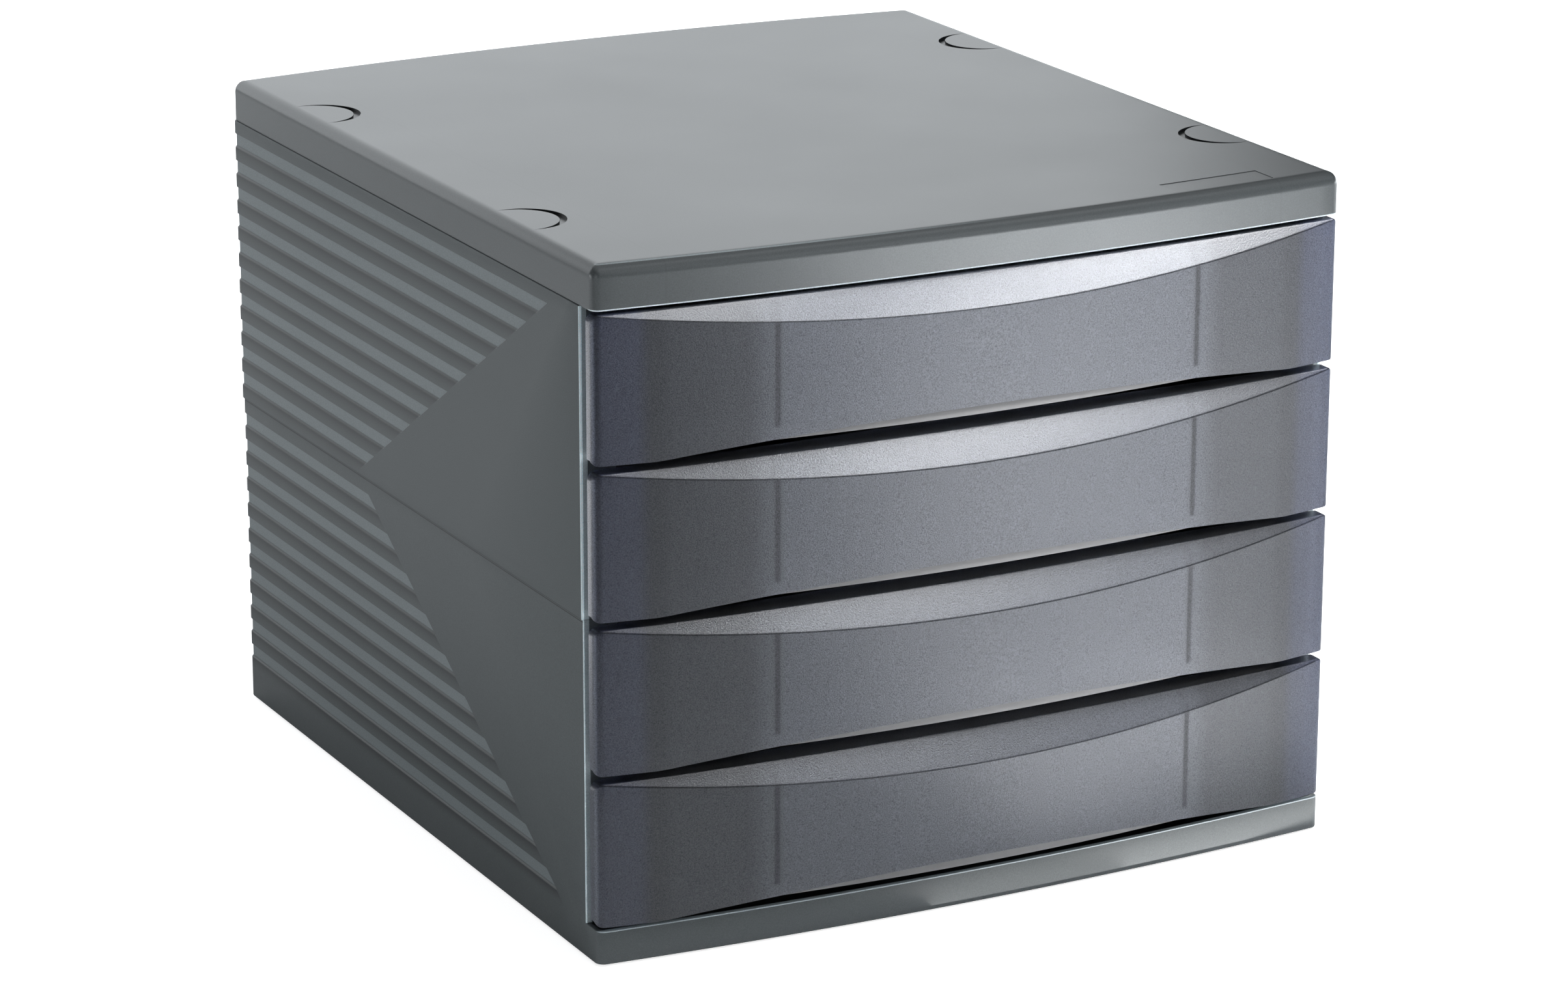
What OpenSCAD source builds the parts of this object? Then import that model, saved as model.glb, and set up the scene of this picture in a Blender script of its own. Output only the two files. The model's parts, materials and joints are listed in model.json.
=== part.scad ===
// Desk stack of four paper drawers in a two-storey casing with a cover on top.
// X is the width, Y runs from the drawer fronts (-Y) to the back, and Z is up.
// The origin is on the desk, under the middle of the stack. All sizes are in mm.

/* [Casing] */
// Width across the upper shell, which is the widest piece
case_w = 296; // [280:0.5:340]
// Depth between the front and the rear corners
case_d = 320; // [300:1:380]
// How far the cover and the plinth bow out at the front
front_bow = 7; // [3:0.5:12]
// How far the back wall and the cover bow out at the rear
rear_bow = 9; // [3:0.5:14]
// Radius of the upright corners
corner_r = 3.85; // [3.2:0.05:6]
// Distance from the widest face to the inner face of the side walls
wall = 2.8; // [2.4:0.1:4]
// Height of one shell, which holds two drawers
module_h = 110.6; // [106:0.2:130]
// Height of the plinth's top edge over the desk
plinth_h = 13.2; // [10:0.1:20]
// Gap between the desk and the lower edge of the plinth
skirt_gap = 1; // [0.6:0.1:1.1]
// Thickness of the casing's floor
floor_t = 2.5; // [1.5:0.1:4]
// Height of the floor's underside over the desk
floor_z = 3; // [2.6:0.1:5]
// How far the lower shell stands back from the upper one
lower_inset = 0.55; // [0.2:0.05:0.8]

/* [Cover] */
// Height of the cover
cover_h = 15.6; // [12:0.1:24]
// Thickness of the cover's top
cover_t = 2.5; // [2:0.1:4]
// Radius of the cover's upper edge
cover_edge_r = 4.3; // [3:0.1:5]
// How far the cover stands back from the upper shell
cover_inset = 0.45; // [0.2:0.05:0.8]
// Left end of the bare name plate recess
plate_x0 = 79.6; // [40:0.2:90]
// Right end of the bare name plate recess
plate_x1 = 121.2; // [100:0.2:128]
// Distance from the front edge to the near side of the recess
plate_near = 5.2; // [5.2:0.1:7]
// Distance from the front edge to the far side of the recess
plate_far = 17.5; // [12:0.1:24]
// Depth of the recess
plate_depth = 0.4; // [0.2:0.1:0.8]

/* [Stacking crescents] */
// Radius of the crescent's outer edge
crescent_r = 15; // [12:0.5:20]
// Radius of the crescent's inner edge
crescent_inner_r = 14.8; // [11.8:0.1:19.8]
// Distance between the centres of those two edges
crescent_shift = 1.9; // [1.2:0.1:2.6]
// Distance of the crescent's centre from the side of the casing
crescent_in = 7.5; // [6.8:0.1:10]
// Distance from the middle of the casing to the crescents, front to back
crescent_y = 90; // [60:1:120]
// Depth of the crescents in the cover
crescent_depth = 1.2; // [1.1:0.1:1.6]
// Clearance of a foot's ridge in a crescent
crescent_fit = 0.3; // [0.2:0.05:0.4]

/* [Door jambs] */
// How far the front edges of the walls stand behind the front corners
jamb_setback = 10.3; // [8:0.1:14]
// Width of the jamb that turns in from each wall
jamb_w = 10.7; // [9:0.1:11.2]
// Thickness of the jamb
jamb_t = 2.3; // [1.6:0.1:4]

/* [Side ribs] */
// Grooves in each side of each shell
groove_count = 10; // [6:1:10]
// Height of a groove
groove_h = 5.65; // [4:0.05:6]
// Height of the land between two grooves
land_h = 4.9; // [3:0.05:5]
// Depth of the grooves
groove_depth = 0.55; // [0.3:0.05:0.7]
// Height of the land over the lower shell's first groove
lower_first_land = 6.05; // [4:0.05:6.5]
// Distance from the front corners to the tip of the plain arrow
arrow_tip = 205; // [150:1:230]
// Distance from the front corners to the arrow's ends at top and bottom
arrow_end = 27; // [16:1:60]

/* [Dowels] */
// Radius of the dowels between the shells
dowel_r = 1.5; // [1.2:0.1:1.8]
// Length of a dowel
dowel_l = 9; // [7:0.5:10]
// Wall of the bosses round the dowels
boss_wall = 1.7; // [1.4:0.1:1.9]
// Height of a boss
boss_h = 5.4; // [5:0.1:5.6]
// Clearance of a dowel in its boss
dowel_fit = 0.1; // [0.05:0.01:0.15]

/* [Drawer fronts] */
// Gap between two fronts
front_gap = 3; // [2.4:0.1:7]
// Gap between the plinth and the lowest front
front_lift = 1.6; // [1.3:0.1:2.2]
// Thickness of the front's skin
front_t = 2; // [1.5:0.1:2.5]
// How far the front's ends stand behind the front corners
front_setback = 0.6; // [0.4:0.1:2]
// Bow of the front's face
face_bow = 14.1; // [10:0.1:20]
// Bow of the front's upper edge
brow_bow = 7; // [3:0.1:9]
// Height of the slanted brow in the middle of the front
brow_h = 11; // [8:0.1:16]
// Depth of the ends that turn back
return_d = 5.4; // [4.5:0.1:7]
// Width of the finger arch in the lower edge
arch_w = 250; // [180:1:262]
// Rise of the finger arch
arch_rise = 6.6; // [4:0.1:9]
// Radius of the front's upper corners
front_top_r = 3; // [1:0.1:4]
// Radius of the front's lower corners
front_foot_r = 1.5; // [0.5:0.1:3]
// Distance from the middle to the upright ribs behind the front
rib_x = 83; // [60:1:105]
// Thickness of those ribs
rib_t = 1.5; // [1:0.1:2.5]
// Height of the ribs' lower ends over the front's lower corners
rib_lift = 8; // [6:0.5:16]

/* [Studs] */
// Radius of the studs that hold a front to its tray
stud_r = 2; // [1.5:0.1:2.5]
// Wall of the pads round the studs
pad_wall = 1.5; // [1:0.1:2]
// Length of the pads
pad_l = 3; // [2:0.1:4]
// Length of a stud inside the tray
stud_head = 0.8; // [0.5:0.1:1]
// Distance from a front's lower corners to the lower studs
stud_low = 16; // [14:0.5:20]
// Distance between the lower and the upper studs
stud_rise = 18; // [10:0.5:20]
// Clearance of a stud in its hole
stud_fit = 0.15; // [0.1:0.01:0.2]

/* [Trays] */
// Height left free between a tray's rims and the tray above
tray_clear = 4.3; // [4:0.1:11]
// Thickness of the tray's walls
tray_t = 2; // [1.5:0.1:2.4]
// Clearance between a tray's side and the ledges of its runners
tray_gap = 1; // [0.6:0.1:1.4]
// How far a tray reaches below its front's lower corners
tray_drop = 1.2; // [0.6:0.1:1.2]
// Radius of the tray's upright corners
tray_r = 3; // [2.6:0.1:6]
// Width of the rims that ride on the runners
rim_w = 4; // [3.4:0.1:5]
// Clearance between a rim and the jamb beside it
rim_gap = 0.5; // [0.3:0.1:0.8]
// Thickness of the rims
rim_t = 2; // [1.5:0.1:2.2]
// Clear space behind a closed tray
tray_back_gap = 8; // [5:0.5:14]
// How far a drawer pulls out before its lugs meet the runner's stops
travel = 250; // [200:1:255]
// Width of the stop lugs beside the rims
lug_w = 4; // [3.2:0.1:4.4]
// Length of the stop lugs
lug_l = 8; // [4:0.5:12]

/* [Runners] */
// Thickness of a runner
ledge_t = 2.5; // [2:0.1:3.5]
// Height of the flange that lies on the wall, under the ledge
flange_h = 6.5; // [5:0.1:9]
// Running clearance between a rim and its runner
slide_gap = 0.3; // [0.25:0.05:0.4]
// Height of the stops on a runner
stop_h = 2.3; // [2:0.1:2.4]
// Length of the stop at the runner's front end
stop_l = 6; // [4:0.5:8]
// Length of the stop at the runner's rear end
rear_stop_l = 3; // [2:0.5:4]
// Radius of the pegs that hold a runner to the wall
peg_r = 2; // [1.5:0.1:2.2]
// Length of the pegs
peg_l = 0.9; // [0.6:0.1:0.9]
// Clearance of a peg in its socket
peg_fit = 0.1; // [0.08:0.01:0.15]
// Distance from each end of a runner to its pegs
peg_in = 40; // [20:1:80]

/* [Hidden] */

drawers = 4;
eps = 0.01;
$fn = 48;
// Steps of a bowed edge, of a corner, of the cover's edge and of the finger arch
bow_steps = 16;
corner_steps = 5;
edge_steps = 5;
arch_steps = 16;
// Smallest corner that an inset outline keeps
least_r = 0.6;

// Colours of the mouldings
SHELL_GREY = [0.31, 0.33, 0.33];
COVER_GREY = [0.55, 0.57, 0.58];
SMOKE = [0.42, 0.43, 0.47, 0.75];
TRAY_SMOKE = [0.50, 0.51, 0.54];
RUNNER_GREY = [0.24, 0.25, 0.25];
PAD_BLACK = [0.12, 0.12, 0.12];

// Heights of the partings, counted from the desk
upper_z = plinth_h + module_h;
cover_z = upper_z + module_h;
total_h = cover_z + cover_h;

// The front faces reach further than the cover, so the depth is centred on both
front_reach = face_bow - front_setback;
y_front = front_reach - (case_d + front_reach + rear_bow) / 2;
y_rear = y_front + case_d;
y_mid = (y_front + y_rear) / 2;

// Inner faces of the casing
inner_x = case_w / 2 - wall;
y_inner_rear = y_rear - wall;

// Jambs at the front of the walls
y_jamb = y_front + jamb_setback;
y_jamb_rear = y_jamb + jamb_t;
jamb_x = inner_x - jamb_w;

// Dowels and their bosses
boss_r = dowel_r + dowel_fit + boss_wall;
boss_x = inner_x - boss_r;
y_boss_front = y_jamb_rear + boss_r - eps;
y_boss_rear = y_inner_rear - boss_r;

// Drawers: the pitch is half a shell
pitch = module_h / 2;
front_h = pitch - front_gap;
tray_h = pitch - tray_clear;
front_w = case_w - 2 * cover_inset;
y_face = y_front + front_setback;
y_tray = y_face + return_d;
y_tray_rear = y_inner_rear - tray_back_gap;
tray_l = y_tray_rear - y_tray;
rim_x = jamb_x - rim_gap;
tray_w = 2 * (rim_x - rim_w);
ledge_w = inner_x - tray_w / 2 - tray_gap;
brow_lean = atan((face_bow - brow_bow) / brow_h);
stud_z = [stud_low, stud_low + stud_rise];

// Stops: the lugs beside the rims meet the front stops at full travel
lug_x = rim_x + lug_w;
stop_x0 = rim_x + 2 * slide_gap;
y_stop = y_jamb_rear + stop_l;
y_lug = y_stop + travel + slide_gap;

function front_z(i) = plinth_h + front_lift + (drawers - i) * pitch;
function tray_z(i) = front_z(i) - tray_drop;
function runner_z(i) = tray_z(i) + tray_h - rim_t - slide_gap;

function flip(list) = [for (k = [len(list) - 1 : -1 : 0]) list[k]];
function bow(x, w, b) = b * (1 - pow(2 * x / w, 2));

// Right-hand corner of an edge that bows towards -Y, tangent to the bow and the side
function corner(w, b, r) =
    let (
        a = atan(4 * b / w),
        x = w / 2 - r,
        y = r * cos(a) - bow(x + r * sin(a), w, b)
    )
    [for (k = [0 : corner_steps])
        let (t = a - 90 + (90 - a) * k / corner_steps)
        [x + r * cos(t), y + r * sin(t)]];

// A bowed edge with both corners, from left to right
function edge(w, b, r) =
    let (
        right = corner(w, b, r),
        left = flip([for (p = right) [-p.x, p.y]]),
        x = right[0].x
    )
    concat(
        left,
        [for (k = [1 : 1 : bow_steps - 1])
            let (u = x * (2 * k / bow_steps - 1))
            if (b > 0) [u, -bow(u, w, b)]],
        right
    );

// Closed outline with a bowed front and a bowed rear, the front corners on y = 0
function outline(w, d, front, rear, r) =
    concat(edge(w, front, r), flip([for (p = edge(w, rear, r)) [p.x, d - p.y]]));

// Plan of the casing, drawn in by an inset
module case_plan(inset = 0) {
    translate([0, y_front + inset])
        polygon(outline(
            case_w - 2 * inset, case_d - 2 * inset,
            front_bow, rear_bow, max(corner_r - inset, least_r)
        ));
}

// Plan ring between an outer inset and the inner faces
module wall_ring(inset) {
    difference() {
        case_plan(inset);
        case_plan(wall);
    }
}

// The two side walls and the back, open at the front
module open_walls(inset) {
    difference() {
        wall_ring(inset);
        translate([-case_w, y_jamb - case_d])
            square([2 * case_w, case_d]);
    }
    for (side = [-1, 1])
        translate([side > 0 ? jamb_x : -inner_x - eps, y_jamb])
            square([jamb_w + eps, jamb_t]);
}

module at_bosses() {
    for (side = [-1, 1])
        for (y = [y_boss_front, y_boss_rear])
            translate([side * boss_x, y])
                children();
}

// Bosses for the dowels, from z up to z + h, each joined to the wall beside it
module bosses(z, h) {
    translate([0, 0, z])
        linear_extrude(h)
            difference() {
                union() {
                    at_bosses() circle(boss_r);
                    for (side = [-1, 1])
                        for (y = [y_boss_front, y_boss_rear])
                            translate([side > 0 ? boss_x : -inner_x - eps, y - boss_r / 2])
                                square([boss_r + eps, boss_r]);
                }
                at_bosses() circle(dowel_r + dowel_fit);
            }
}

module dowels(z) {
    translate([0, 0, z - dowel_l / 2])
        linear_extrude(dowel_l)
            at_bosses() circle(dowel_r);
}

// Side view of the ribbed region of a shell: the rear part, behind the plain arrow
module ribbed_region(z, tip_at_top) {
    tip = y_front + arrow_tip;
    end = y_front + arrow_end;
    far = y_rear + rear_bow;
    y_top = tip_at_top ? tip : end;
    y_foot = tip_at_top ? end : tip;
    translate([-case_w, 0, 0])
        rotate([90, 0, 90])
            linear_extrude(2 * case_w)
                polygon([[y_foot, z], [far, z], [far, z + module_h], [y_top, z + module_h]]);
}

// Grooves across the sides and round the rear corners, first_z being the first one's top
module grooves(z, first_z, inset, tip_at_top) {
    intersection() {
        for (k = [0 : groove_count - 1])
            translate([0, 0, first_z - groove_h - k * (groove_h + land_h)])
                linear_extrude(groove_h)
                    difference() {
                        case_plan(inset - eps);
                        case_plan(inset + groove_depth);
                        square([2 * (case_w / 2 - corner_r), 2 * case_d], center = true);
                    }
        ribbed_region(z, tip_at_top);
    }
}

// Places of a runner's pegs along Y
function peg_y() = [y_jamb_rear + peg_in, y_inner_rear - peg_in];

module peg_holes(i) {
    for (side = [-1, 1])
        for (y = peg_y())
            translate([side * (inner_x - eps), y, runner_z(i) - ledge_t - flange_h / 2])
                rotate([0, side * 90, 0])
                    cylinder(r = peg_r + peg_fit, h = peg_l + peg_fit + eps);
}

// Crescent of the stacking system; grow widens it all round
module crescent(grow) {
    difference() {
        circle(crescent_r + grow);
        translate([crescent_shift, 0])
            circle(crescent_inner_r - grow);
    }
}

module at_crescent(side, end) {
    translate([side * (case_w / 2 - crescent_in), y_mid + end * crescent_y])
        scale_side(side) children();
}

module scale_side(side) {
    if (side > 0)
        children();
    else
        mirror([1, 0, 0]) children();
}

// Closed form through a list of outlines at rising heights, all with the same point count
module loft(rings) {
    n = len(rings[0]);
    sides = [for (j = [0 : len(rings) - 2])
        for (k = [0 : n - 1])
            let (a = j * n + k, b = j * n + (k + 1) % n)
            each [[a, a + n, b + n], [a, b + n, b]]];
    foot = [for (k = [0 : n - 1]) k];
    head = [for (k = [n - 1 : -1 : 0]) (len(rings) - 1) * n + k];
    polyhedron([for (ring = rings) each ring], concat(sides, [foot], [head]));
}

// Cover outline at a height z, drawn in by an inset
function cover_ring(inset, z) =
    [for (p = outline(
        case_w - 2 * inset, case_d - 2 * inset, front_bow, rear_bow,
        max(corner_r - inset, least_r)
    )) [p.x, p.y + y_front + inset, z]];

// Cover as a solid block with its rounded upper edge
module cover_form() {
    loft(concat(
        [cover_ring(cover_inset, cover_z)],
        [for (k = [0 : edge_steps])
            let (t = 90 * k / edge_steps)
            cover_ring(
                cover_inset + cover_edge_r * (1 - cos(t)),
                total_h - cover_edge_r * (1 - sin(t))
            )]
    ));
}

module top_cover() {
    color(COVER_GREY) {
        difference() {
            cover_form();
            translate([0, 0, cover_z - 1])
                linear_extrude(cover_h - cover_t + 1)
                    case_plan(wall);
            for (side = [-1, 1])
                for (end = [-1, 1])
                    translate([0, 0, total_h - crescent_depth])
                        linear_extrude(crescent_depth + 1)
                            at_crescent(side, end) crescent(0);
            translate([0, 0, total_h - plate_depth])
                linear_extrude(plate_depth + 1)
                    intersection() {
                        translate([plate_x0, -case_d])
                            square([plate_x1 - plate_x0, case_d]);
                        difference() {
                            case_plan(cover_inset + plate_near);
                            case_plan(cover_inset + plate_far);
                        }
                    }
        }
        bosses(cover_z, cover_h - cover_t + eps);
    }
}

module upper_shell() {
    color(SHELL_GREY)
        difference() {
            union() {
                translate([0, 0, upper_z])
                    linear_extrude(module_h) open_walls(0);
                bosses(upper_z, boss_h);
                bosses(cover_z - boss_h, boss_h);
            }
            grooves(upper_z, cover_z - land_h, 0, false);
            for (i = [1, 2]) peg_holes(i);
        }
}

module lower_shell() {
    color(SHELL_GREY)
        difference() {
            union() {
                translate([0, 0, skirt_gap])
                    linear_extrude(plinth_h - skirt_gap) wall_ring(lower_inset);
                translate([0, 0, floor_z])
                    linear_extrude(floor_t) case_plan(wall - eps);
                translate([0, 0, floor_z + floor_t - eps])
                    linear_extrude(upper_z - floor_z - floor_t + eps) open_walls(lower_inset);
                bosses(upper_z - boss_h, boss_h);
            }
            grooves(plinth_h, upper_z - lower_first_land, lower_inset, true);
            for (i = [3, 4]) peg_holes(i);
        }
}

module shell_dowels() {
    color(RUNNER_GREY) dowels(upper_z);
}

module cover_dowels() {
    color(RUNNER_GREY) dowels(cover_z);
}

// Foot pad under the floor, whose crescent ridge drops into the cover of a lower stack
module foot(side, end) {
    plate_reach = crescent_in - wall - crescent_fit;
    color(PAD_BLACK) {
        linear_extrude(skirt_gap + eps)
            at_crescent(side, end) crescent(-crescent_fit);
        translate([0, 0, skirt_gap])
            linear_extrude(floor_z - skirt_gap)
                at_crescent(side, end)
                    intersection() {
                        circle(crescent_r - crescent_fit);
                        translate([-crescent_r, -crescent_r])
                            square([crescent_r + plate_reach, 2 * crescent_r]);
                    }
    }
}

// Ledge on the right-hand wall that carries one rim of drawer i
module right_runner(i) {
    z = runner_z(i);
    l = y_inner_rear - slide_gap - y_jamb_rear;
    translate([0, y_jamb_rear, z - ledge_t]) {
        translate([inner_x - ledge_w, 0, 0])
            cube([ledge_w, l, ledge_t]);
        translate([inner_x - ledge_t, 0, -flange_h])
            cube([ledge_t, l, flange_h + eps]);
        translate([stop_x0, 0, ledge_t - eps])
            cube([lug_x - stop_x0, stop_l, stop_h + eps]);
    }
    translate([inner_x - ledge_w, y_tray_rear + slide_gap, z - eps])
        cube([lug_x - inner_x + ledge_w, rear_stop_l, stop_h + eps]);
    for (y = peg_y())
        translate([inner_x - eps, y, z - ledge_t - flange_h / 2])
            rotate([0, 90, 0])
                cylinder(r = peg_r, h = peg_l + eps);
}

module runner(i, side) {
    color(RUNNER_GREY)
        scale_side(side) right_runner(i);
}

// Tray of drawer i, with a rim and a stop lug on each side
module drawer_tray(i) {
    color(TRAY_SMOKE)
        translate([0, 0, tray_z(i)])
            difference() {
                union() {
                    difference() {
                        translate([0, y_tray, 0])
                            linear_extrude(tray_h)
                                polygon(outline(tray_w, tray_l, 0, 0, tray_r));
                        translate([0, y_tray + tray_t, tray_t])
                            linear_extrude(tray_h)
                                polygon(outline(
                                    tray_w - 2 * tray_t, tray_l - 2 * tray_t,
                                    0, 0, max(tray_r - tray_t, least_r)
                                ));
                    }
                    for (side = [-1, 1])
                        scale_side(side) tray_rim();
                }
                stud_holes(front_z(i) - tray_z(i));
            }
}

module tray_rim() {
    x0 = tray_w / 2 - tray_t / 2;
    translate([x0, y_tray + tray_r, tray_h - rim_t])
        cube([rim_x - x0, tray_l - tray_r, rim_t]);
    translate([rim_x - eps, y_lug, tray_h - rim_t])
        cube([lug_w + eps, lug_l, rim_t]);
}

module at_studs(z) {
    for (side = [-1, 1])
        for (rise = stud_z)
            translate([side * rib_x, y_tray, z + rise])
                rotate([-90, 0, 0])
                    children();
}

module stud_holes(z) {
    at_studs(z)
        translate([0, 0, -1])
            cylinder(r = stud_r + stud_fit, h = tray_t + 2);
}

// Plan of a drawer front, drawn in by an inset
module front_plan(inset, b) {
    translate([0, y_face + inset])
        polygon(outline(
            front_w - 2 * inset, case_d / 2, b, 0, max(corner_r - inset, least_r)
        ));
}

// Space behind the slanted brow, as a prism that leans with it, set back by an amount
module behind_brow(back) {
    l = 2 * front_h;
    b = brow_bow * cos(brow_lean);
    bowed = [for (k = [0 : bow_steps])
        let (x = front_w * (k / bow_steps - 0.5))
        [x, back - bow(x, front_w, b)]];
    translate([0, y_face, front_h])
        rotate([-brow_lean, 0, 0])
            translate([0, 0, -l])
                linear_extrude(2 * l)
                    polygon(concat(
                        [[-front_w, back + 2 * b]], bowed,
                        [[front_w, back + 2 * b], [front_w, l], [-front_w, l]]
                    ));
}

// Front view of a drawer front: rounded corners and the finger arch
function front_view() =
    let (
        w = front_w / 2,
        foot = [for (k = [0 : corner_steps])
            let (t = 270 + 90 * k / corner_steps)
            [w - front_foot_r + front_foot_r * cos(t), front_foot_r * (1 + sin(t))]],
        head = [for (k = [0 : corner_steps])
            let (t = 90 * k / corner_steps)
            [w - front_top_r + front_top_r * cos(t), front_h - front_top_r * (1 - sin(t))]],
        right = concat(foot, head),
        arch = [for (k = [0 : arch_steps])
            let (x = arch_w * (k / arch_steps - 0.5))
            [x, bow(x, arch_w, arch_rise)]]
    )
    concat(arch, right, flip([for (p = right) [-p.x, p.y]]));

// The front as if it were solid, with its lower corners on z = 0
module front_block() {
    intersection() {
        linear_extrude(front_h) front_plan(0, face_bow);
        behind_brow(0);
        translate([0, y_tray, 0])
            rotate([90, 0, 0])
                linear_extrude(2 * face_bow + return_d) polygon(front_view());
    }
}

module drawer_front(i) {
    color(SMOKE)
        translate([0, 0, front_z(i)]) {
            difference() {
                front_block();
                intersection() {
                    translate([0, 0, -1])
                        linear_extrude(front_h - front_t + 1) front_plan(front_t, face_bow);
                    behind_brow(front_t);
                }
            }
            intersection() {
                front_block();
                for (side = [-1, 1])
                    translate([side * rib_x - rib_t / 2, y_tray - case_d / 2, rib_lift])
                        cube([rib_t, case_d / 2, front_h]);
            }
            at_studs(0)
                translate([0, 0, -pad_l])
                    cylinder(r = stud_r + pad_wall, h = pad_l);
            at_studs(0)
                translate([0, 0, -eps])
                    cylinder(r = stud_r, h = tray_t + stud_head + eps);
        }
}

top_cover();
upper_shell();
lower_shell();
shell_dowels();
cover_dowels();
foot(-1, -1);  // foot_front_left
foot(1, -1);  // foot_front_right
foot(-1, 1);  // foot_rear_left
foot(1, 1);  // foot_rear_right
runner(1, -1);  // runner_1_left
runner(1, 1);  // runner_1_right
runner(2, -1);  // runner_2_left
runner(2, 1);  // runner_2_right
runner(3, -1);  // runner_3_left
runner(3, 1);  // runner_3_right
runner(4, -1);  // runner_4_left
runner(4, 1);  // runner_4_right
drawer_tray(1);  // drawer_1_tray
drawer_front(1);  // drawer_1_front
drawer_tray(2);  // drawer_2_tray
drawer_front(2);  // drawer_2_front
drawer_tray(3);  // drawer_3_tray
drawer_front(3);  // drawer_3_front
drawer_tray(4);  // drawer_4_tray
drawer_front(4);  // drawer_4_front
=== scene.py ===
"""Letter tray stack: four smoke drawers in a ribbed two-storey casing under a stacking cover."""

import json
import math

import bmesh
import bpy
import numpy as np
from bpy.props import FloatProperty, FloatVectorProperty, IntProperty, PointerProperty
from mathutils import Matrix, Vector

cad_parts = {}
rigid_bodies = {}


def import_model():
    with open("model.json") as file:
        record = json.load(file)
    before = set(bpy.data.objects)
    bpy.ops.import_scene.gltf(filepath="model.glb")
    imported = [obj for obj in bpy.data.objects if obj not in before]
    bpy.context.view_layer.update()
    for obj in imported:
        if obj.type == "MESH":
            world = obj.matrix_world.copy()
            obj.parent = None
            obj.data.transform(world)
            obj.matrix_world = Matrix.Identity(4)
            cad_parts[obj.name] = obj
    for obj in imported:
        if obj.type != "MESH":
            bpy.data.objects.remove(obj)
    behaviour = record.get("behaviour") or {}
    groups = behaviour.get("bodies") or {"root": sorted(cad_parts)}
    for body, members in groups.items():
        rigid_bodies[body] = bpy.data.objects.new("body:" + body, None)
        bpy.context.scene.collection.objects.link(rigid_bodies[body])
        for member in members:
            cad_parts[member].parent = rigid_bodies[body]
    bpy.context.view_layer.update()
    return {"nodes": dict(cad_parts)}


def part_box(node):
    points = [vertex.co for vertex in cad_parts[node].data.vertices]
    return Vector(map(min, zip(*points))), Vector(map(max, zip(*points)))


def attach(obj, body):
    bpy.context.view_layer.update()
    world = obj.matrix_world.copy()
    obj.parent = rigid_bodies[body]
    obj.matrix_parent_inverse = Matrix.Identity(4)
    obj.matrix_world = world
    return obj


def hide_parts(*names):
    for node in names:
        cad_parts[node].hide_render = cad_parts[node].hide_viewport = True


bl_info = {
    "name": "Letter Tray Stack",
    "version": (1, 0, 0),
    "blender": (4, 5, 0),
    "location": "3D View > Sidebar > Tray Stack",
    "description": "Builds the looks of a drawer stack for letter paper",
    "category": "Object",
}

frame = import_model()
MM = 0.001


def node_box(name):
    """Lowest and highest corner of a CAD node, in millimetres."""
    low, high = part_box(name)
    return [v / MM for v in low], [v / MM for v in high]


UPPER_LOW, UPPER_HIGH = node_box("upper_shell")
LOWER_LOW, LOWER_HIGH = node_box("lower_shell")
COVER_LOW, COVER_HIGH = node_box("top_cover")


# ---- settings


class CasingSettings(bpy.types.PropertyGroup):
    """Sizes of the cover and the two shells."""

    width: FloatProperty(
        name="Width", description="Width across the upper shell",
        default=(UPPER_HIGH[0] - UPPER_LOW[0]) * MM, unit="LENGTH", min=0.1)
    depth: FloatProperty(
        name="Depth", description="Depth between the front and the rear corners",
        default=0.320, unit="LENGTH", min=0.1)
    front_corner: FloatProperty(
        name="Front Corners", description="Where the front corners stand along Y",
        default=-0.15775, unit="LENGTH")
    front_bow: FloatProperty(
        name="Front Bow", description="How far the cover and the plinth bow out at the front",
        default=0.007, unit="LENGTH", min=0.0)
    rear_bow: FloatProperty(
        name="Rear Bow", description="How far the back bows out",
        default=0.009, unit="LENGTH", min=0.0)
    corner: FloatProperty(
        name="Corner Radius", description="Radius of the upright corners",
        default=0.00385, unit="LENGTH", min=0.001)
    wall: FloatProperty(
        name="Wall", description="From the widest face to the inner face of the walls",
        default=0.0028, unit="LENGTH", min=0.001)
    edge: FloatProperty(
        name="Cover Edge", description="Radius of the cover's upper edge",
        default=0.0043, unit="LENGTH", min=0.001)
    groove_depth: FloatProperty(
        name="Groove Depth", description="Depth of the grooves in the sides",
        default=0.00055, unit="LENGTH", min=0.0)
    groove_count: IntProperty(
        name="Grooves", description="Grooves in each side of each shell", default=10, min=1, max=10)
    arris: FloatProperty(
        name="Arris", description="Width of the eased sharp edges",
        default=0.0003, unit="LENGTH", min=0.0)


class FrontSettings(bpy.types.PropertyGroup):
    """Sizes of the bowed drawer fronts."""

    skin: FloatProperty(
        name="Skin", description="Thickness of a front",
        default=0.002, unit="LENGTH", min=0.0005)
    face_bow: FloatProperty(
        name="Face Bow", description="Bow of the face",
        default=0.0141, unit="LENGTH", min=0.0)
    brow_bow: FloatProperty(
        name="Brow Bow", description="Bow of the upper edge",
        default=0.007, unit="LENGTH", min=0.0)
    brow_height: FloatProperty(
        name="Brow Height", description="Height of the slanted brow in the middle",
        default=0.011, unit="LENGTH", min=0.001)
    arch_width: FloatProperty(
        name="Arch Width", description="Width of the finger arch",
        default=0.250, unit="LENGTH", min=0.05)
    arch_rise: FloatProperty(
        name="Arch Rise", description="Rise of the finger arch",
        default=0.0066, unit="LENGTH", min=0.0)
    rib_place: FloatProperty(
        name="Rib Place", description="From the middle to the upright ribs behind the face",
        default=0.083, unit="LENGTH", min=0.01)


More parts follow.
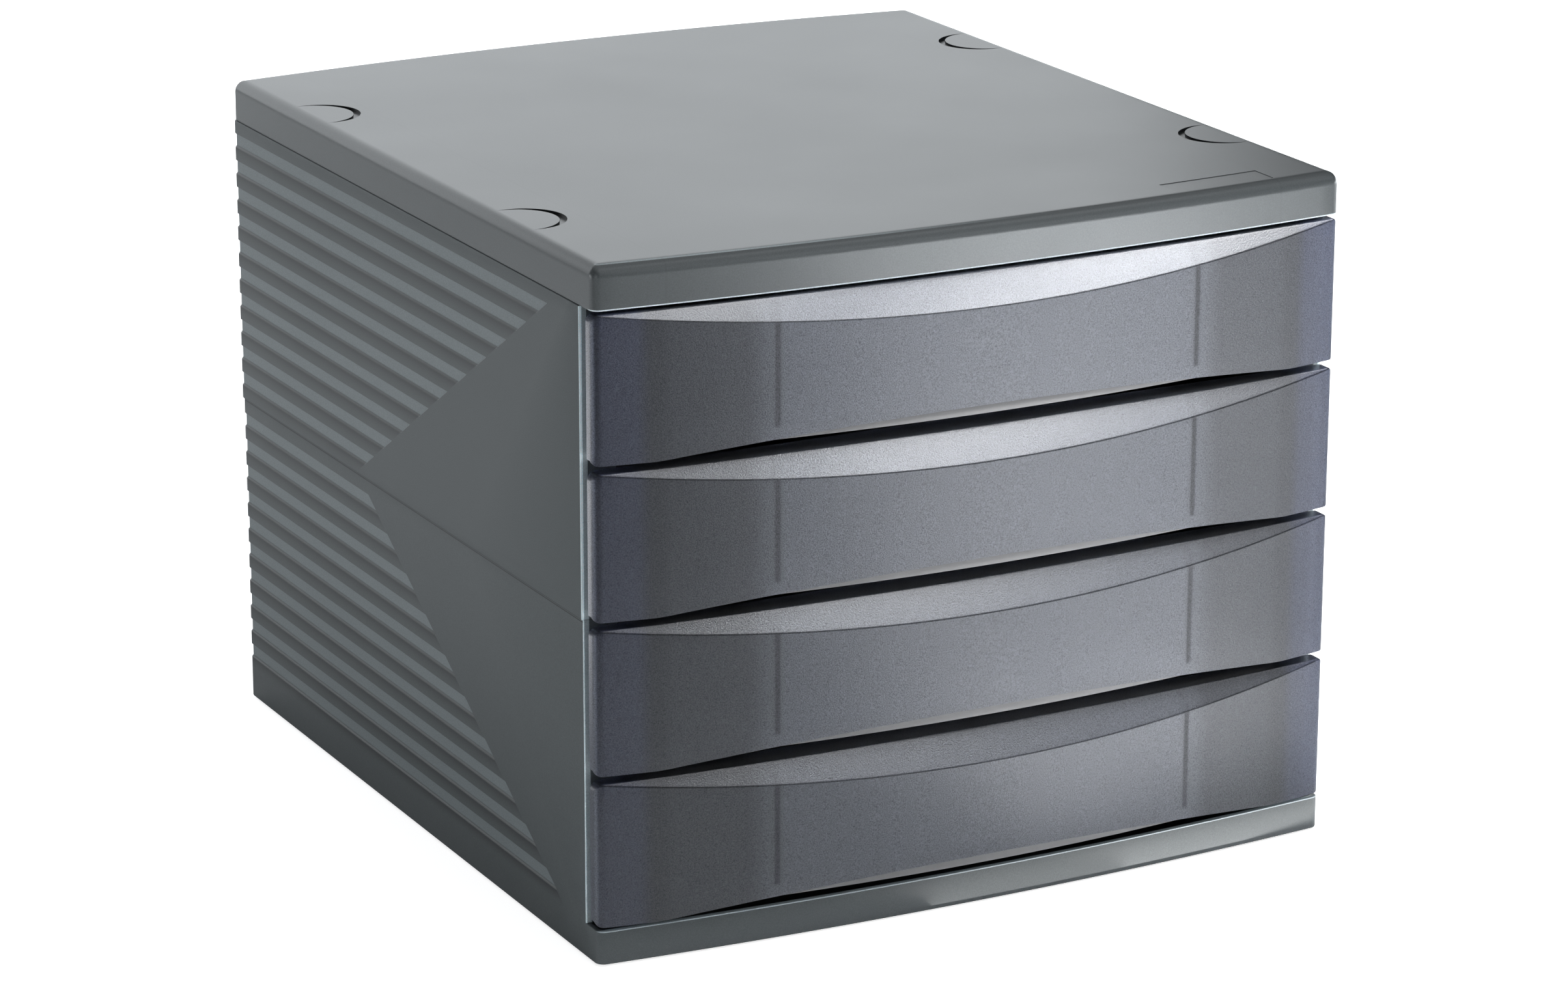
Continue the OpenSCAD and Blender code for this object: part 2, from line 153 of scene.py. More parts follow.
class FinishSettings(bpy.types.PropertyGroup):
    """Colours and grain of the plastics."""

    casing: FloatVectorProperty(
        name="Casing", description="Grey of the shells",
        subtype="COLOR", default=(0.074, 0.085, 0.088), min=0.0, max=1.0)
    cover: FloatVectorProperty(
        name="Cover", description="Grey of the cover",
        subtype="COLOR", default=(0.076, 0.085, 0.088), min=0.0, max=1.0)
    smoke: FloatVectorProperty(
        name="Smoke", description="Tint of the drawer fronts",
        subtype="COLOR", default=(0.185, 0.2, 0.235), min=0.0, max=1.0)
    tray: FloatVectorProperty(
        name="Trays", description="Tint of the trays",
        subtype="COLOR", default=(0.20, 0.198, 0.196), min=0.0, max=1.0)
    grain: FloatProperty(
        name="Grain", description="Size of the moulded grain",
        default=0.0004, unit="LENGTH", min=0.00005)


class StageSettings(bpy.types.PropertyGroup):
    """Camera and lamps."""

    eye: FloatVectorProperty(
        name="Eye", description="Where the camera stands",
        subtype="TRANSLATION", default=(-0.8623, -1.66245, 0.6858))
    azimuth: FloatProperty(
        name="Azimuth", description="How far the view turns from the front",
        default=math.radians(27.591), subtype="ANGLE")
    elevation: FloatProperty(
        name="Elevation", description="How far the view looks down",
        default=math.radians(17.156), subtype="ANGLE")
    roll: FloatProperty(
        name="Roll", description="How far the camera tilts",
        default=math.radians(0.111), subtype="ANGLE")
    lens: FloatProperty(
        name="Lens", description="Focal length on a 36 mm wide sensor", default=119.34, min=10.0)
    lamp: FloatProperty(
        name="Lamps", description="Level of all lamps together", default=1.0, min=0.0)


def settings():
    return bpy.context.scene.tray_stack


# ---- sizes, in millimetres where nothing else is said

# shells
PLINTH_TOP = 13.2
FLOOR_LOW = 3.0
FLOOR_TOP = 5.5
JAMB_SETBACK = 10.3
JAMB_WIDTH = 10.7
JAMB_DEPTH = 2.3
LOWER_INSET = 0.55
LEAST_CORNER = 0.6
GROOVE_HEIGHT = 5.65
LAND_HEIGHT = 4.9
LOWER_FIRST_LAND = 6.05
UPPER_LEDGE = 0.4
LOWER_LEDGE = 0.8
GROOVE_END = 0.7
ARROW_TIP = 205.0
ARROW_END = 27.0
SIDE_FADE = 0.8
# cover
COVER_INSET = 0.45
COVER_TOP_WALL = 2.5
FOOT_EASE = 0.3
CRESCENT_EDGE = 7.5
CRESCENT_SPREAD = 180.0
PANEL_LINE = 121.3
PLATE_LEFT = 79.6
PLATE_RIGHT = 121.2
PLATE_NEAR = 5.2
PLATE_FAR = 17.5
PLATE_DEPTH = 0.18
# drawer fronts
FRONT_SETBACK = 0.6
RETURN_DEPTH = 5.4
FRONT_TOP_R = 3.0
FRONT_FOOT_R = 1.5
FRONT_EDGE_R = 0.7
CREASE_EASE = 0.25
RIB_LIFT = 8.0
RIB_HALF = 0.75
RIB_OVERLAP = 0.03
# strips behind the arches
LIP_LOW = 2.9
LIP_TOP = 7.2
LIP_REACH = 100.0
LIP_THICK = 1.4
LIP_OVERLAP = 0.05
LIP_EDGE_R = 0.35
LIP_ARRIS = 0.3

# rows and columns of points about the places where a surface turns sharply
GROOVE_TOP_STEPS = (-0.12, 0.0, 0.1, 0.2, 0.3, 0.4, 0.55)
GROOVE_FOOT_STEPS = (-0.12, 0.0, 0.15, 0.3, 0.45, 0.6, 0.8, 1.2)
GROOVE_END_STEPS = (-0.15, 0.0, 0.15, 0.35, 0.55, 0.7, 1.2)
CREASE_STEPS = (-0.5, -0.3, -0.15, 0.0, 0.15, 0.3, 0.5)
FACE_PARTS = (0.0, 0.04, 0.15, 0.3, 0.45, 0.6, 0.75, 0.9)
BROW_PARTS = (0.2, 0.4, 0.6, 0.8, 1.0)

CLOUDS_PER_METRE = 14.0
DRAWERS = range(1, 5)
DARK_GREY = (0.045, 0.048, 0.049)
RUBBER_BLACK = (0.012, 0.012, 0.012)
END_SHADE_TINT = (1.02, 1.06, 1.36, 1.0)

# numbers of steps along curves
BOW_STEPS = 48
CORNER_STEPS = 7
EDGE_STEPS = 8
PLATE_STEPS = 12
FRONT_STEPS = 64
FRONT_CORNER_STEPS = 8
LIP_STEPS = 96
CRESCENT_STEPS = 96

# least distances in a mesh, in metres, and the angles in degrees that count as sharp
MERGE_DISTANCE = 2e-6
SLIVER_LENGTH = 1e-6
BEVEL_ANGLE = 60.0
COVER_SHARP = 35.0
SHELL_SHARP = 40.0
FRONT_SHARP = 30.0


def bow(x, w, b):
    """How far an edge of width w and bow b stands out at x."""
    return b * (1 - (2 * x / w) ** 2)


def half_corner(w, b, r, steps, inset=0.0):
    """Right-hand corner of an edge that bows towards -Y, from the bow to the side."""
    a = math.atan(4 * b / w)
    x = w / 2 - r
    y = r * math.cos(a) - bow(x + r * math.sin(a), w, b)
    turns = [a - math.pi / 2 + (math.pi / 2 - a) * k / steps for k in range(steps + 1)]
    return [(x + (r - inset) * math.cos(t), y + (r - inset) * math.sin(t)) for t in turns]


def bowed_edge(w, b, r):
    """A bowed edge with both corners, from left to right."""
    right = half_corner(w, b, r, CORNER_STEPS)
    left = [(-x, y) for x, y in reversed(right)]
    reach = right[0][0]
    middle = [reach * (2 * k / BOW_STEPS - 1) for k in range(1, BOW_STEPS)]
    return left + [(x, -bow(x, w, b)) for x in middle] + right


def casing_edges(inset):
    """Front and rear edge of the casing's plan, both from left to right."""
    c = settings().casing
    w = c.width / MM - 2 * inset
    r = max(c.corner / MM - inset, LEAST_CORNER)
    front = c.front_corner / MM
    rear = front + c.depth / MM
    near = [(x, front + inset + y) for x, y in bowed_edge(w, c.front_bow / MM, r)]
    far = [(x, rear - inset - y) for x, y in bowed_edge(w, c.rear_bow / MM, r)]
    return near, far


# ---- mesh making


def new_object(name, data):
    made = bpy.data.objects.new(name, data)
    bpy.context.scene.collection.objects.link(made)
    return made


class Skin:
    """Gathers grids and faces in millimetres into one closed mesh."""

    def __init__(self):
        self.points = []
        self.faces = []
        self.marks = []

    def grid(self, rows, mark=0.0):
        first = len(self.points)
        width = len(rows[0])
        for row in rows:
            self.points.extend(row)
            self.marks.extend([mark] * width)
        for j in range(len(rows) - 1):
            for k in range(width - 1):
                a = first + j * width + k
                self.faces.append((a, a + 1, a + width + 1, a + width))

    def face(self, points):
        first = len(self.points)
        self.points.extend(points)
        self.marks.extend([0.0] * len(points))
        self.faces.append(range(first, first + len(points)))

    def piece(self, name, mark_name=None):
        """An object from the gathered faces, with the marks as a point attribute."""
        mesh = bpy.data.meshes.new(name)
        bm = bmesh.new()
        layer = bm.verts.layers.float.new(mark_name) if mark_name else None
        verts = [bm.verts.new([c * MM for c in p]) for p in self.points]
        if layer is not None:
            for vert, mark in zip(verts, self.marks):
                vert[layer] = mark
        for face in self.faces:
            bm.faces.new([verts[k] for k in face])
        bmesh.ops.remove_doubles(bm, verts=bm.verts, dist=MERGE_DISTANCE)
        bmesh.ops.dissolve_degenerate(bm, edges=bm.edges, dist=SLIVER_LENGTH)
        bmesh.ops.recalc_face_normals(bm, faces=bm.faces)
        bm.to_mesh(mesh)
        bm.free()
        return new_object(name, mesh)


def settle(piece, material, sharp):
    """Applies the piece's modifiers, gives it one material and shades it by its edges."""
    graph = bpy.context.evaluated_depsgraph_get()
    graph.update()
    mesh = bpy.data.meshes.new_from_object(piece.evaluated_get(graph))
    old = piece.data
    name = old.name
    piece.modifiers.clear()
    piece.data = mesh
    bpy.data.meshes.remove(old)
    mesh.name = name
    mesh.materials.clear()
    mesh.materials.append(material)
    count = len(mesh.polygons)
    mesh.polygons.foreach_set("material_index", np.zeros(count, dtype=np.int32))
    mesh.polygons.foreach_set("use_smooth", np.ones(count, dtype=bool))
    mesh.set_sharp_from_angle(angle=math.radians(sharp))
    mesh.update()


def ease_edges(piece, width):
    bevel = piece.modifiers.new("Eased edges", "BEVEL")
    bevel.width = width
    bevel.segments = 2
    bevel.limit_method = "ANGLE"
    bevel.angle_limit = math.radians(BEVEL_ANGLE)


# ---- node trees


class Tree:
    """Short hand for wiring a node tree."""

    def __init__(self, tree):
        self.tree = tree

    def node(self, kind, inputs=None, **options):
        made = self.tree.nodes.new(kind)
        for key, value in options.items():
            setattr(made, key, value)
        for key, value in (inputs or {}).items():
            self.feed(made.inputs[key], value)
        return made

    def out(self, kind, inputs=None, **options):
        """A new node's first output."""
        return self.node(kind, inputs, **options).outputs[0]

    def feed(self, socket, value):
        if isinstance(value, bpy.types.NodeSocket):
            self.tree.links.new(value, socket)
        else:
            socket.default_value = value

    def math(self, operation, *values):
        inputs = dict(enumerate(values))
        return self.out("ShaderNodeMath", inputs, operation=operation)

    def plus(self, value, other):
        return self.math("ADD", value, other)

    def minus(self, value, other):
        return self.math("SUBTRACT", value, other)

    def times(self, value, *others):
        for other in others:
            value = self.math("MULTIPLY", value, other)
        return value

    def ramp(self, value, low, high, to_low=0.0, to_high=1.0, smooth=True):
        inputs = dict(enumerate((value, low, high, to_low, to_high)))
        kind = "SMOOTHSTEP" if smooth else "LINEAR"
        return self.out("ShaderNodeMapRange", inputs, interpolation_type=kind)

    def fall(self, value, low, high):
        """1 below the low value, 0 above the high one."""
        return self.ramp(value, low, high, 1.0, 0.0)

    def band(self, value, centre, inner, outer):
        """1 within the inner distance of the centre, 0 beyond the outer one."""
        return self.fall(self.math("ABSOLUTE", self.minus(value, centre)), inner, outer)

    def blend(self, factor, low, high):
        """From one number to another as the factor goes from 0 to 1."""
        return self.ramp(factor, 0.0, 1.0, low, high, False)

    def split(self, vector):
        return self.node("ShaderNodeSeparateXYZ", {0: vector}).outputs

    def scaled(self, vector, factor):
        inputs = {0: vector, "Scale": factor}
        return self.out("ShaderNodeVectorMath", inputs, operation="SCALE")


def empty_tree(owner):
    """The cleared node tree of a material or world."""
    owner.use_nodes = True
    owner.node_tree.nodes.clear()
    return Tree(owner.node_tree)


def new_group(name, kind, inputs, outputs):
    """A node group: an input is (label, socket kind, default), an output (label, socket kind)."""
    tree = bpy.data.node_groups.new(name, kind)
    for label, socket_kind, default in inputs:
        socket = tree.interface.new_socket(
            label, in_out="INPUT", socket_type=f"NodeSocket{socket_kind}")
        if default is not None:
            socket.default_value = default
    for label, socket_kind in outputs:
        tree.interface.new_socket(label, in_out="OUTPUT", socket_type=f"NodeSocket{socket_kind}")
    return tree


def new_geometry_tree(name, numbers):
    """A geometry tree whose inputs are the named numbers and a material."""
    inputs = [("Geometry", "Geometry", None)]
    inputs += [(label, "Float", default) for label, default in numbers.items()]
    inputs.append(("Material", "Material", None))
    return new_group(name, "GeometryNodeTree", inputs, [("Geometry", "Geometry")])


def close_geometry_tree(t, source, geometry):
    """Ends a geometry tree in Realize Instances and Set Material."""
    real = t.out("GeometryNodeRealizeInstances", {"Geometry": geometry})
    dressed = t.out("GeometryNodeSetMaterial",
                    {"Geometry": real, "Material": source.outputs["Material"]})
    t.node("NodeGroupOutput", {"Geometry": dressed})


def add_tree(piece, tree, values):
    """Puts a geometry tree on a piece and sets its inputs by their identifiers."""
    modifier = piece.modifiers.new(tree.name, "NODES")
    modifier.node_group = tree
    keys = {s.name: s.identifier for s in tree.interface.items_tree
            if s.item_type == "SOCKET" and s.in_out == "INPUT"}
    for label, value in values.items():
        modifier[keys[label]] = value


def groove_tree():
    """Sinks evenly spaced grooves into the marked sides of a shell, as far as a slanted line."""
    tree = bpy.data.node_groups.get("Side Grooves")
    if tree:
        return tree
    tree = new_geometry_tree("Side Grooves", {
        "Count": 10.0, "First Top": 0.2, "Height": 0.00565, "Pitch": 0.01055, "Depth": 0.00055,
        "Upper Ledge": 0.0004, "Lower Ledge": 0.0008, "Line Y": 0.0, "Line Z": 0.1,
        "Line Slope": 1.6})
    t = Tree(tree)
    source = t.node("NodeGroupInput")
    value = source.outputs
    _, y, z = t.split(t.out("GeometryNodeInputPosition"))
    below = t.minus(value["First Top"], z)
    index = t.math("FLOOR", t.math("DIVIDE", below, value["Pitch"]))
    inside = t.times(t.math("GREATER_THAN", index, -0.5),
                     t.math("LESS_THAN", index, t.minus(value["Count"], 0.5)))
    down = t.minus(below, t.times(index, value["Pitch"]))
    up = t.minus(value["Height"], down)
    upper = t.ramp(down, 0.0, value["Upper Ledge"])
    lower = t.ramp(up, 0.0, value["Lower Ledge"])
    rise = t.minus(z, value["Line Z"])
    line = t.plus(value["Line Y"], t.times(rise, value["Line Slope"]))
    behind = t.ramp(t.minus(y, line), 0.0, GROOVE_END * MM)
    marked = t.out("GeometryNodeInputNamedAttribute", {"Name": "ribbed"}, data_type="FLOAT")
    where = t.times(inside, behind, marked)
    shape = t.times(upper, lower, where)
    offset = t.scaled(t.out("GeometryNodeInputNormal"),
                      t.times(shape, value["Depth"], -1.0))
    # masks of painted shade for the finish: the dark lower ledges, and the land below each groove,
    # darker near its top
    ledge = t.times(where, upper, t.ramp(up, -0.0001, 0.0003), t.fall(up, 0.0006, 0.0012))
    shade = t.times(where, t.fall(up, -0.0001, 0.0003),
                    t.ramp(up, -LAND_HEIGHT * MM, 0.0, 0.2, 1.0))
    geometry = value["Geometry"]
    for name, number in (("groove", shape), ("shade", shade), ("ledge", ledge)):
        geometry = t.out("GeometryNodeStoreNamedAttribute",
                         {"Geometry": geometry, "Name": name, "Value": number},
                         data_type="FLOAT", domain="POINT")
    moved = t.out("GeometryNodeSetPosition", {"Geometry": geometry, "Offset": offset})
    close_geometry_tree(t, source, moved)
    return tree


def crescent_tree():
    """Cuts a crescent at each corner of a rectangle, each one's round side turned inwards."""
    tree = new_geometry_tree("Stacking Crescents", {
        "Outer Radius": 0.0152, "Inner Radius": 0.0149, "Shift": 0.0026, "Depth": 0.0012,
        "Spread X": 0.281, "Spread Y": 0.18, "Centre Y": 0.0, "Top": 0.25})
    t = Tree(tree)
    source = t.node("NodeGroupInput")
    value = source.outputs

    def disc(radius, depth):
        return t.out("GeometryNodeMeshCylinder",
                     {"Vertices": CRESCENT_STEPS, "Radius": radius, "Depth": depth})

    def shifted(geometry, steps):
        offset = t.out("ShaderNodeCombineXYZ", steps)
        return t.out("GeometryNodeTransform",
                     {"Geometry": geometry, "Translation": offset})

    def cut(mesh, cutter):
        return t.out("GeometryNodeMeshBoolean", {"Mesh 1": mesh, "Mesh 2": cutter},
                     operation="DIFFERENCE", solver="EXACT")

    tall = t.times(value["Depth"], 2.0)
    inner = shifted(disc(value["Inner Radius"], t.times(tall, 2.0)), {0: value["Shift"]})
    moon = cut(disc(value["Outer Radius"], tall), inner)
    corners = t.out("GeometryNodeMeshGrid", {
        "Size X": value["Spread X"], "Size Y": value["Spread Y"],
        "Vertices X": 2, "Vertices Y": 2})
    points = shifted(corners, {1: value["Centre Y"], 2: value["Top"]})
    x = t.split(t.out("GeometryNodeInputPosition"))[0]
    turn = t.times(t.math("LESS_THAN", x, 0.0), math.pi)
    spin = t.out("ShaderNodeCombineXYZ", {2: turn})
    moons = t.out("GeometryNodeInstanceOnPoints", {
        "Points": points, "Instance": moon, "Rotation": spin})
    solid = t.out("GeometryNodeRealizeInstances", {"Geometry": moons})
    close_geometry_tree(t, source, cut(value["Geometry"], solid))
    return tree


# ---- finishes


def grain_group():
    """Fine spark-eroded grain with faint clouding, on the piece's own coordinates."""
    tree = bpy.data.node_groups.get("Moulded Grain")
    if tree:
        return tree
    tree = new_group("Moulded Grain", "ShaderNodeTree", [
        ("Colour", "Color", (0.1, 0.1, 0.1, 1.0)), ("Size", "Float", 0.0004),
        ("Speckle", "Float", 0.1), ("Cloud", "Float", 0.05), ("Roughness", "Float", 0.45),
        ("Uneven", "Float", 0.05)],
        [("Colour", "Color"), ("Roughness", "Float"), ("Height", "Float")])
    t = Tree(tree)
    source = t.node("NodeGroupInput").outputs
    place = t.node("ShaderNodeTexCoord").outputs["Object"]

    def noise(scale, detail, roughness):
        return t.out("ShaderNodeTexNoise", {"Vector": place, "Scale": scale, "Detail": detail,
                                            "Roughness": roughness})

    fine = noise(t.math("DIVIDE", 1.0, source["Size"]), 2.0, 0.6)
    wide = t.minus(noise(CLOUDS_PER_METRE, 3.0, 0.5), 0.5)
    speck = t.times(t.minus(fine, 0.5), source["Speckle"])
    cloud = t.times(wide, source["Cloud"])
    tone = t.plus(1.0, t.times(t.plus(speck, cloud), 2.0))
    t.node("NodeGroupOutput", {
        "Colour": t.scaled(source["Colour"], tone), "Height": fine,
        "Roughness": t.plus(source["Roughness"], t.times(wide, source["Uneven"]))})
    return tree


def plastic(name, colour, roughness, speckle=0.08, cloud=0.03, uneven=0.06, bump=0.15,
            size=None, specular=0.5):
    """A moulded plastic; returns the material, its tree, its shader and its grain."""
    made = bpy.data.materials.new(name)
    t = empty_tree(made)
    grain = t.node("ShaderNodeGroup", {
        "Colour": (*colour, 1.0), "Size": size or settings().finish.grain, "Speckle": speckle,
        "Cloud": cloud, "Roughness": roughness, "Uneven": uneven}, node_tree=grain_group())
    relief = t.out("ShaderNodeBump", {
        "Height": grain.outputs["Height"], "Strength": bump, "Distance": 0.0001})
    shader = t.node("ShaderNodeBsdfPrincipled", {
        "Base Color": grain.outputs["Colour"], "Roughness": grain.outputs["Roughness"],
        "Normal": relief, "Specular IOR Level": specular})
    t.node("ShaderNodeOutputMaterial", {"Surface": shader.outputs[0]})
    return made, t, shader, grain


def object_place(t):
    """X, Y and Z of the shaded point on its piece, and its distance from the middle plane."""
    x, y, z = t.split(t.node("ShaderNodeTexCoord").outputs["Object"])
    return x, y, z, t.math("ABSOLUTE", x)


def tone_by(t, shader, grain, *masks):
    """Multiplies a plastic's colour by each mask's factor where the mask is 1."""
    tone = t.times(*[t.blend(mask, 1.0, factor) for mask, factor in masks])
    toned = t.scaled(grain.outputs["Colour"], tone)
    t.feed(shader.inputs["Base Color"], toned)
    return toned


def casing_plastic():
    """Grey of the shells: light groove floors, painted shade on the lower ledges and the lands
    below them, painted light on the walls' front faces and painted highlights on their outer edges
    and the plinth's top edge.
    """
    made = bpy.data.materials.get("casing_plastic")
    if made:
        return made
    made, t, shader, grain = plastic(
        "casing_plastic", settings().finish.casing, 0.4, speckle=0.4, specular=0.4)
    groove, shade, ledge = (t.node("ShaderNodeAttribute", attribute_name=name).outputs["Fac"]
                            for name in ("groove", "shade", "ledge"))
    _, y, z, across = object_place(t)
    c = settings().casing
    half = c.width / 2
    ahead = t.minus(y, c.front_corner)
    end = t.times(t.fall(t.minus(ahead, JAMB_SETBACK * MM), 0.0001, 0.0005),
                  t.math("GREATER_THAN", z, (PLINTH_TOP + 0.2) * MM))
    # painted light on the walls' front faces, which lie in shade behind the fronts' returns, and a
    # painted highlight on their outer arris
    strip = t.times(end, t.math("GREATER_THAN", across, half - c.wall))
    arris = t.times(end, t.ramp(across, half - 0.0011, half - 0.0008))
    # painted highlight along the plinth's top front edge
    plinth = t.times(t.band(z, PLINTH_TOP * MM, 0.0002, 0.0005), t.fall(ahead, 0.001, 0.003))
    upper = t.band(z, (UPPER_LOW[2] + 0.15) * MM, 0.0001, 0.0003)
    lower = t.band(z, (LOWER_HIGH[2] - 0.75) * MM, 0.0001, 0.0003)
    seam = t.times(t.math("MAXIMUM", upper, lower), t.minus(1.0, end))
    # painted shade darkens the lower ledges and the tops of the lands below the grooves
    tone_by(t, shader, grain, (t.ramp(groove, 0.1, 0.7), 2.4), (ledge, 0.3),
            (t.math("POWER", shade, 2.0), 0.35), (seam, 0.2), (strip, 5.0), (arris, 2.6),
            (plinth, 7.0))
    return made


def cover_plastic():
    """Grey of the cover, with a faint panel line, painted highlights along the lower edge and the
    upper front edge, and painted shade in the crescents.
    """
    made, t, shader, grain = plastic(
        "cover_plastic", settings().finish.cover, 0.3, speckle=0.4, specular=0.65)
    x, y, z, across = object_place(t)
    c = settings().casing
    low, high = COVER_LOW[2], COVER_HIGH[2]
    line = t.band(across, PANEL_LINE * MM, 0.0002, 0.0006)
    # painted highlight: a bright line along the lower front edge
    foot = t.times(t.fall(z, (low + 0.45) * MM, (low + 0.6) * MM),
                   t.fall(y, c.front_corner + 0.002, c.front_corner + 0.005))
    # the crescents' floors, darkened by painted shade, and the plate's bare floor
    along = t.math("ABSOLUTE", t.minus(y, c.front_corner + c.depth / 2))
    aside = t.minus(across, c.width / 2 - CRESCENT_EDGE * MM)
    ahead = t.minus(along, CRESCENT_SPREAD / 2 * MM)
    reach = t.math("SQRT", t.plus(t.math("POWER", aside, 2.0), t.math("POWER", ahead, 2.0)))
    sunk = t.fall(z, (high - 0.12) * MM, (high - 0.04) * MM)
    moon = t.times(t.math("LESS_THAN", reach, 0.0156), t.math("LESS_THAN", across, 0.1415))
    upright = t.split(t.node("ShaderNodeNewGeometry").outputs["Normal"])[2]
    plate = t.times(t.math("LESS_THAN", across, (PANEL_LINE + 0.1) * MM),
                    t.math("GREATER_THAN", upright, 0.99))
    # painted highlight along the upper front edge, strongest towards the left
    crest = t.band(z, (high - 0.2) * MM, 0.00005, 0.0002)
    glint_reach = t.times(t.fall(y, c.front_corner + 0.002, c.front_corner + 0.006),
                   t.fall(x, -0.10, 0.04))
    tone_by(t, shader, grain, (line, 0.93), (foot, 10.0), (t.times(moon, sunk), 0.25),
            (t.times(crest, glint_reach), 6.0), (t.times(plate, sunk), 0.8))
    return made


def smoke_plastic():
    """Translucent smoke, darker beyond the ribs; at the ends a painted bluish tint stands in for
    the dark hollow seen through them, where no tray wall stands behind.
    """
    made, t, shader, grain = plastic(
        "smoke_plastic", settings().finish.smoke, 0.3, speckle=1.5, cloud=0.04, uneven=0.05,
        bump=0.8, size=0.00045, specular=0.65)
    low, high = node_box("drawer_4_front")
    pitch = (node_box("drawer_3_front")[0][2] - low[2]) * MM
    _, _, z, across = object_place(t)
    turns = t.math("DIVIDE", t.minus(z, low[2] * MM), pitch)
    rise = t.times(t.math("FRACT", turns), pitch)
    fronts = settings().fronts
    place = fronts.rib_place
    outside = t.ramp(across, place - 0.001, place + 0.012)
    shade = t.band(across, 0.1265, 0.001, 0.008)
    # each upright rib with a darker halo about it, painted shade on the brow's tip and painted
    # light on the pale outer edge
    above_foot = t.ramp(rise, 0.0072, 0.0088)
    rib = t.times(t.band(across, place, 0.0005, 0.0015), above_foot,
                  t.fall(rise, 0.0440, 0.0455))
    rib_halo = t.times(t.band(across, place, 0.0006, 0.0032), above_foot)
    tip = t.times(t.ramp(rise, 0.0485, 0.0520), t.fall(across, 0.120, 0.135))
    edge = t.ramp(across, 0.1466, 0.1473)
    # the crease between the face and the brow, which bows upwards to the corners
    half = settings().casing.width / 2 - COVER_INSET * MM
    bulge = t.math("POWER", t.math("DIVIDE", across, half), 2.0)
    fold = t.plus((high[2] - low[2]) * MM - fronts.brow_height,
                  t.times(bulge, fronts.brow_height))
    crease = t.band(t.minus(rise, fold), 0.0, 0.0001, 0.00035)
    toned = tone_by(t, shader, grain, (outside, 0.52), (rib, 0.45), (rib_halo, 0.82),
                    (shade, 0.8), (tip, 0.8), (edge, 3.0), (crease, 0.35))
    # painted: a bluish tint at the ends stands in for the dark hollow seen through the skin
    end_zone = t.minus(t.ramp(across, 0.127, 0.133), edge)
    tint = t.node("ShaderNodeMix", {"Factor": end_zone, 6: toned, 7: END_SHADE_TINT},
                  data_type="RGBA", blend_type="MULTIPLY")
    t.feed(shader.inputs["Base Color"], tint.outputs[2])
    rough = t.plus(grain.outputs["Roughness"], t.blend(rib, 0.0, 0.2))
    t.feed(shader.inputs["Roughness"], rough)
    shader.inputs["Transmission Weight"].default_value = 0.75
    shader.inputs["IOR"].default_value = 1.5
    return made


def tray_plastic():
    """Plain smooth grey of the trays and of the strips behind the arches."""
    made = bpy.data.materials.get("tray_plastic")
    return made or plastic("tray_plastic", settings().finish.tray, 0.4, speckle=0.1, bump=0.2)[0]


# ---- cover and shells


def at(path, z):
    """A plan path at one height."""
    return [(x, y, z) for x, y in path]


class TRAYSTACK_OT_cover(bpy.types.Operator):
    """Build the cover with its rounded edge, stacking crescents and bare plate recess"""

    bl_idname = "traystack.cover"
    bl_label = "Cover"

    def execute(self, context):
        c = settings().casing
        low, high = COVER_LOW[2], COVER_HIGH[2]
        r = c.edge / MM

        def ring(inset, z):
            near, far = casing_edges(inset)
            loop = near + far[::-1]
            return at(loop + loop[:1], z)

        rows = [ring(COVER_INSET + FOOT_EASE, low), ring(COVER_INSET + 0.09, low + 0.09),
                ring(COVER_INSET, low + FOOT_EASE), ring(COVER_INSET, low + 2 * FOOT_EASE),
                ring(COVER_INSET, high - r - 0.4)]
        for k in range(EDGE_STEPS + 1):
            a = math.pi / 2 * k / EDGE_STEPS
            inset = COVER_INSET + r * (1 - math.cos(a))
            rows.append(ring(inset, high - r * (1 - math.sin(a))))
        rows.append(ring(COVER_INSET + r + 1.0, high))
        skin = Skin()
        skin.grid(rows)
        skin.face(rows[-1][:-1])
        wall = c.wall / MM
        roof = ring(wall, high - COVER_TOP_WALL)
        skin.grid([rows[0], ring(wall, low), roof])
        skin.face(roof[:-1])
        piece = skin.piece("cover_shell")
        add_tree(piece, crescent_tree(), {
            "Centre Y": c.front_corner + c.depth / 2, "Top": high * MM,
            "Spread X": c.width - 2 * CRESCENT_EDGE * MM, "Spread Y": CRESCENT_SPREAD * MM})
        recess = self.recess(high)
        cut = piece.modifiers.new("Plate recess", "BOOLEAN")
        cut.operation = "DIFFERENCE"
        cut.solver = "EXACT"
        cut.object = recess
        settle(piece, cover_plastic(), COVER_SHARP)
        bpy.data.objects.remove(recess)
        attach(piece, "casing")
        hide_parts("top_cover")
        return {"FINISHED"}

    @staticmethod
    def recess(high):
        """Cutter for the bare plate: a strip that follows the bowed front edge."""
        c = settings().casing
        w = c.width / MM - 2 * COVER_INSET
        front = c.front_corner / MM + COVER_INSET
        span = PLATE_RIGHT - PLATE_LEFT
        xs = [PLATE_LEFT + span * k / PLATE_STEPS for k in range(PLATE_STEPS + 1)]
        near, far = ([(x, front + setback - bow(x, w, c.front_bow / MM)) for x in xs]
                     for setback in (PLATE_NEAR, PLATE_FAR))
        rows = [at(near + far[::-1] + near[:1], z) for z in (high - PLATE_DEPTH, high + 1.0)]
        skin = Skin()
        skin.grid(rows)
        for row in rows:
            skin.face(row[:-1])
        return skin.piece("plate_cutter")


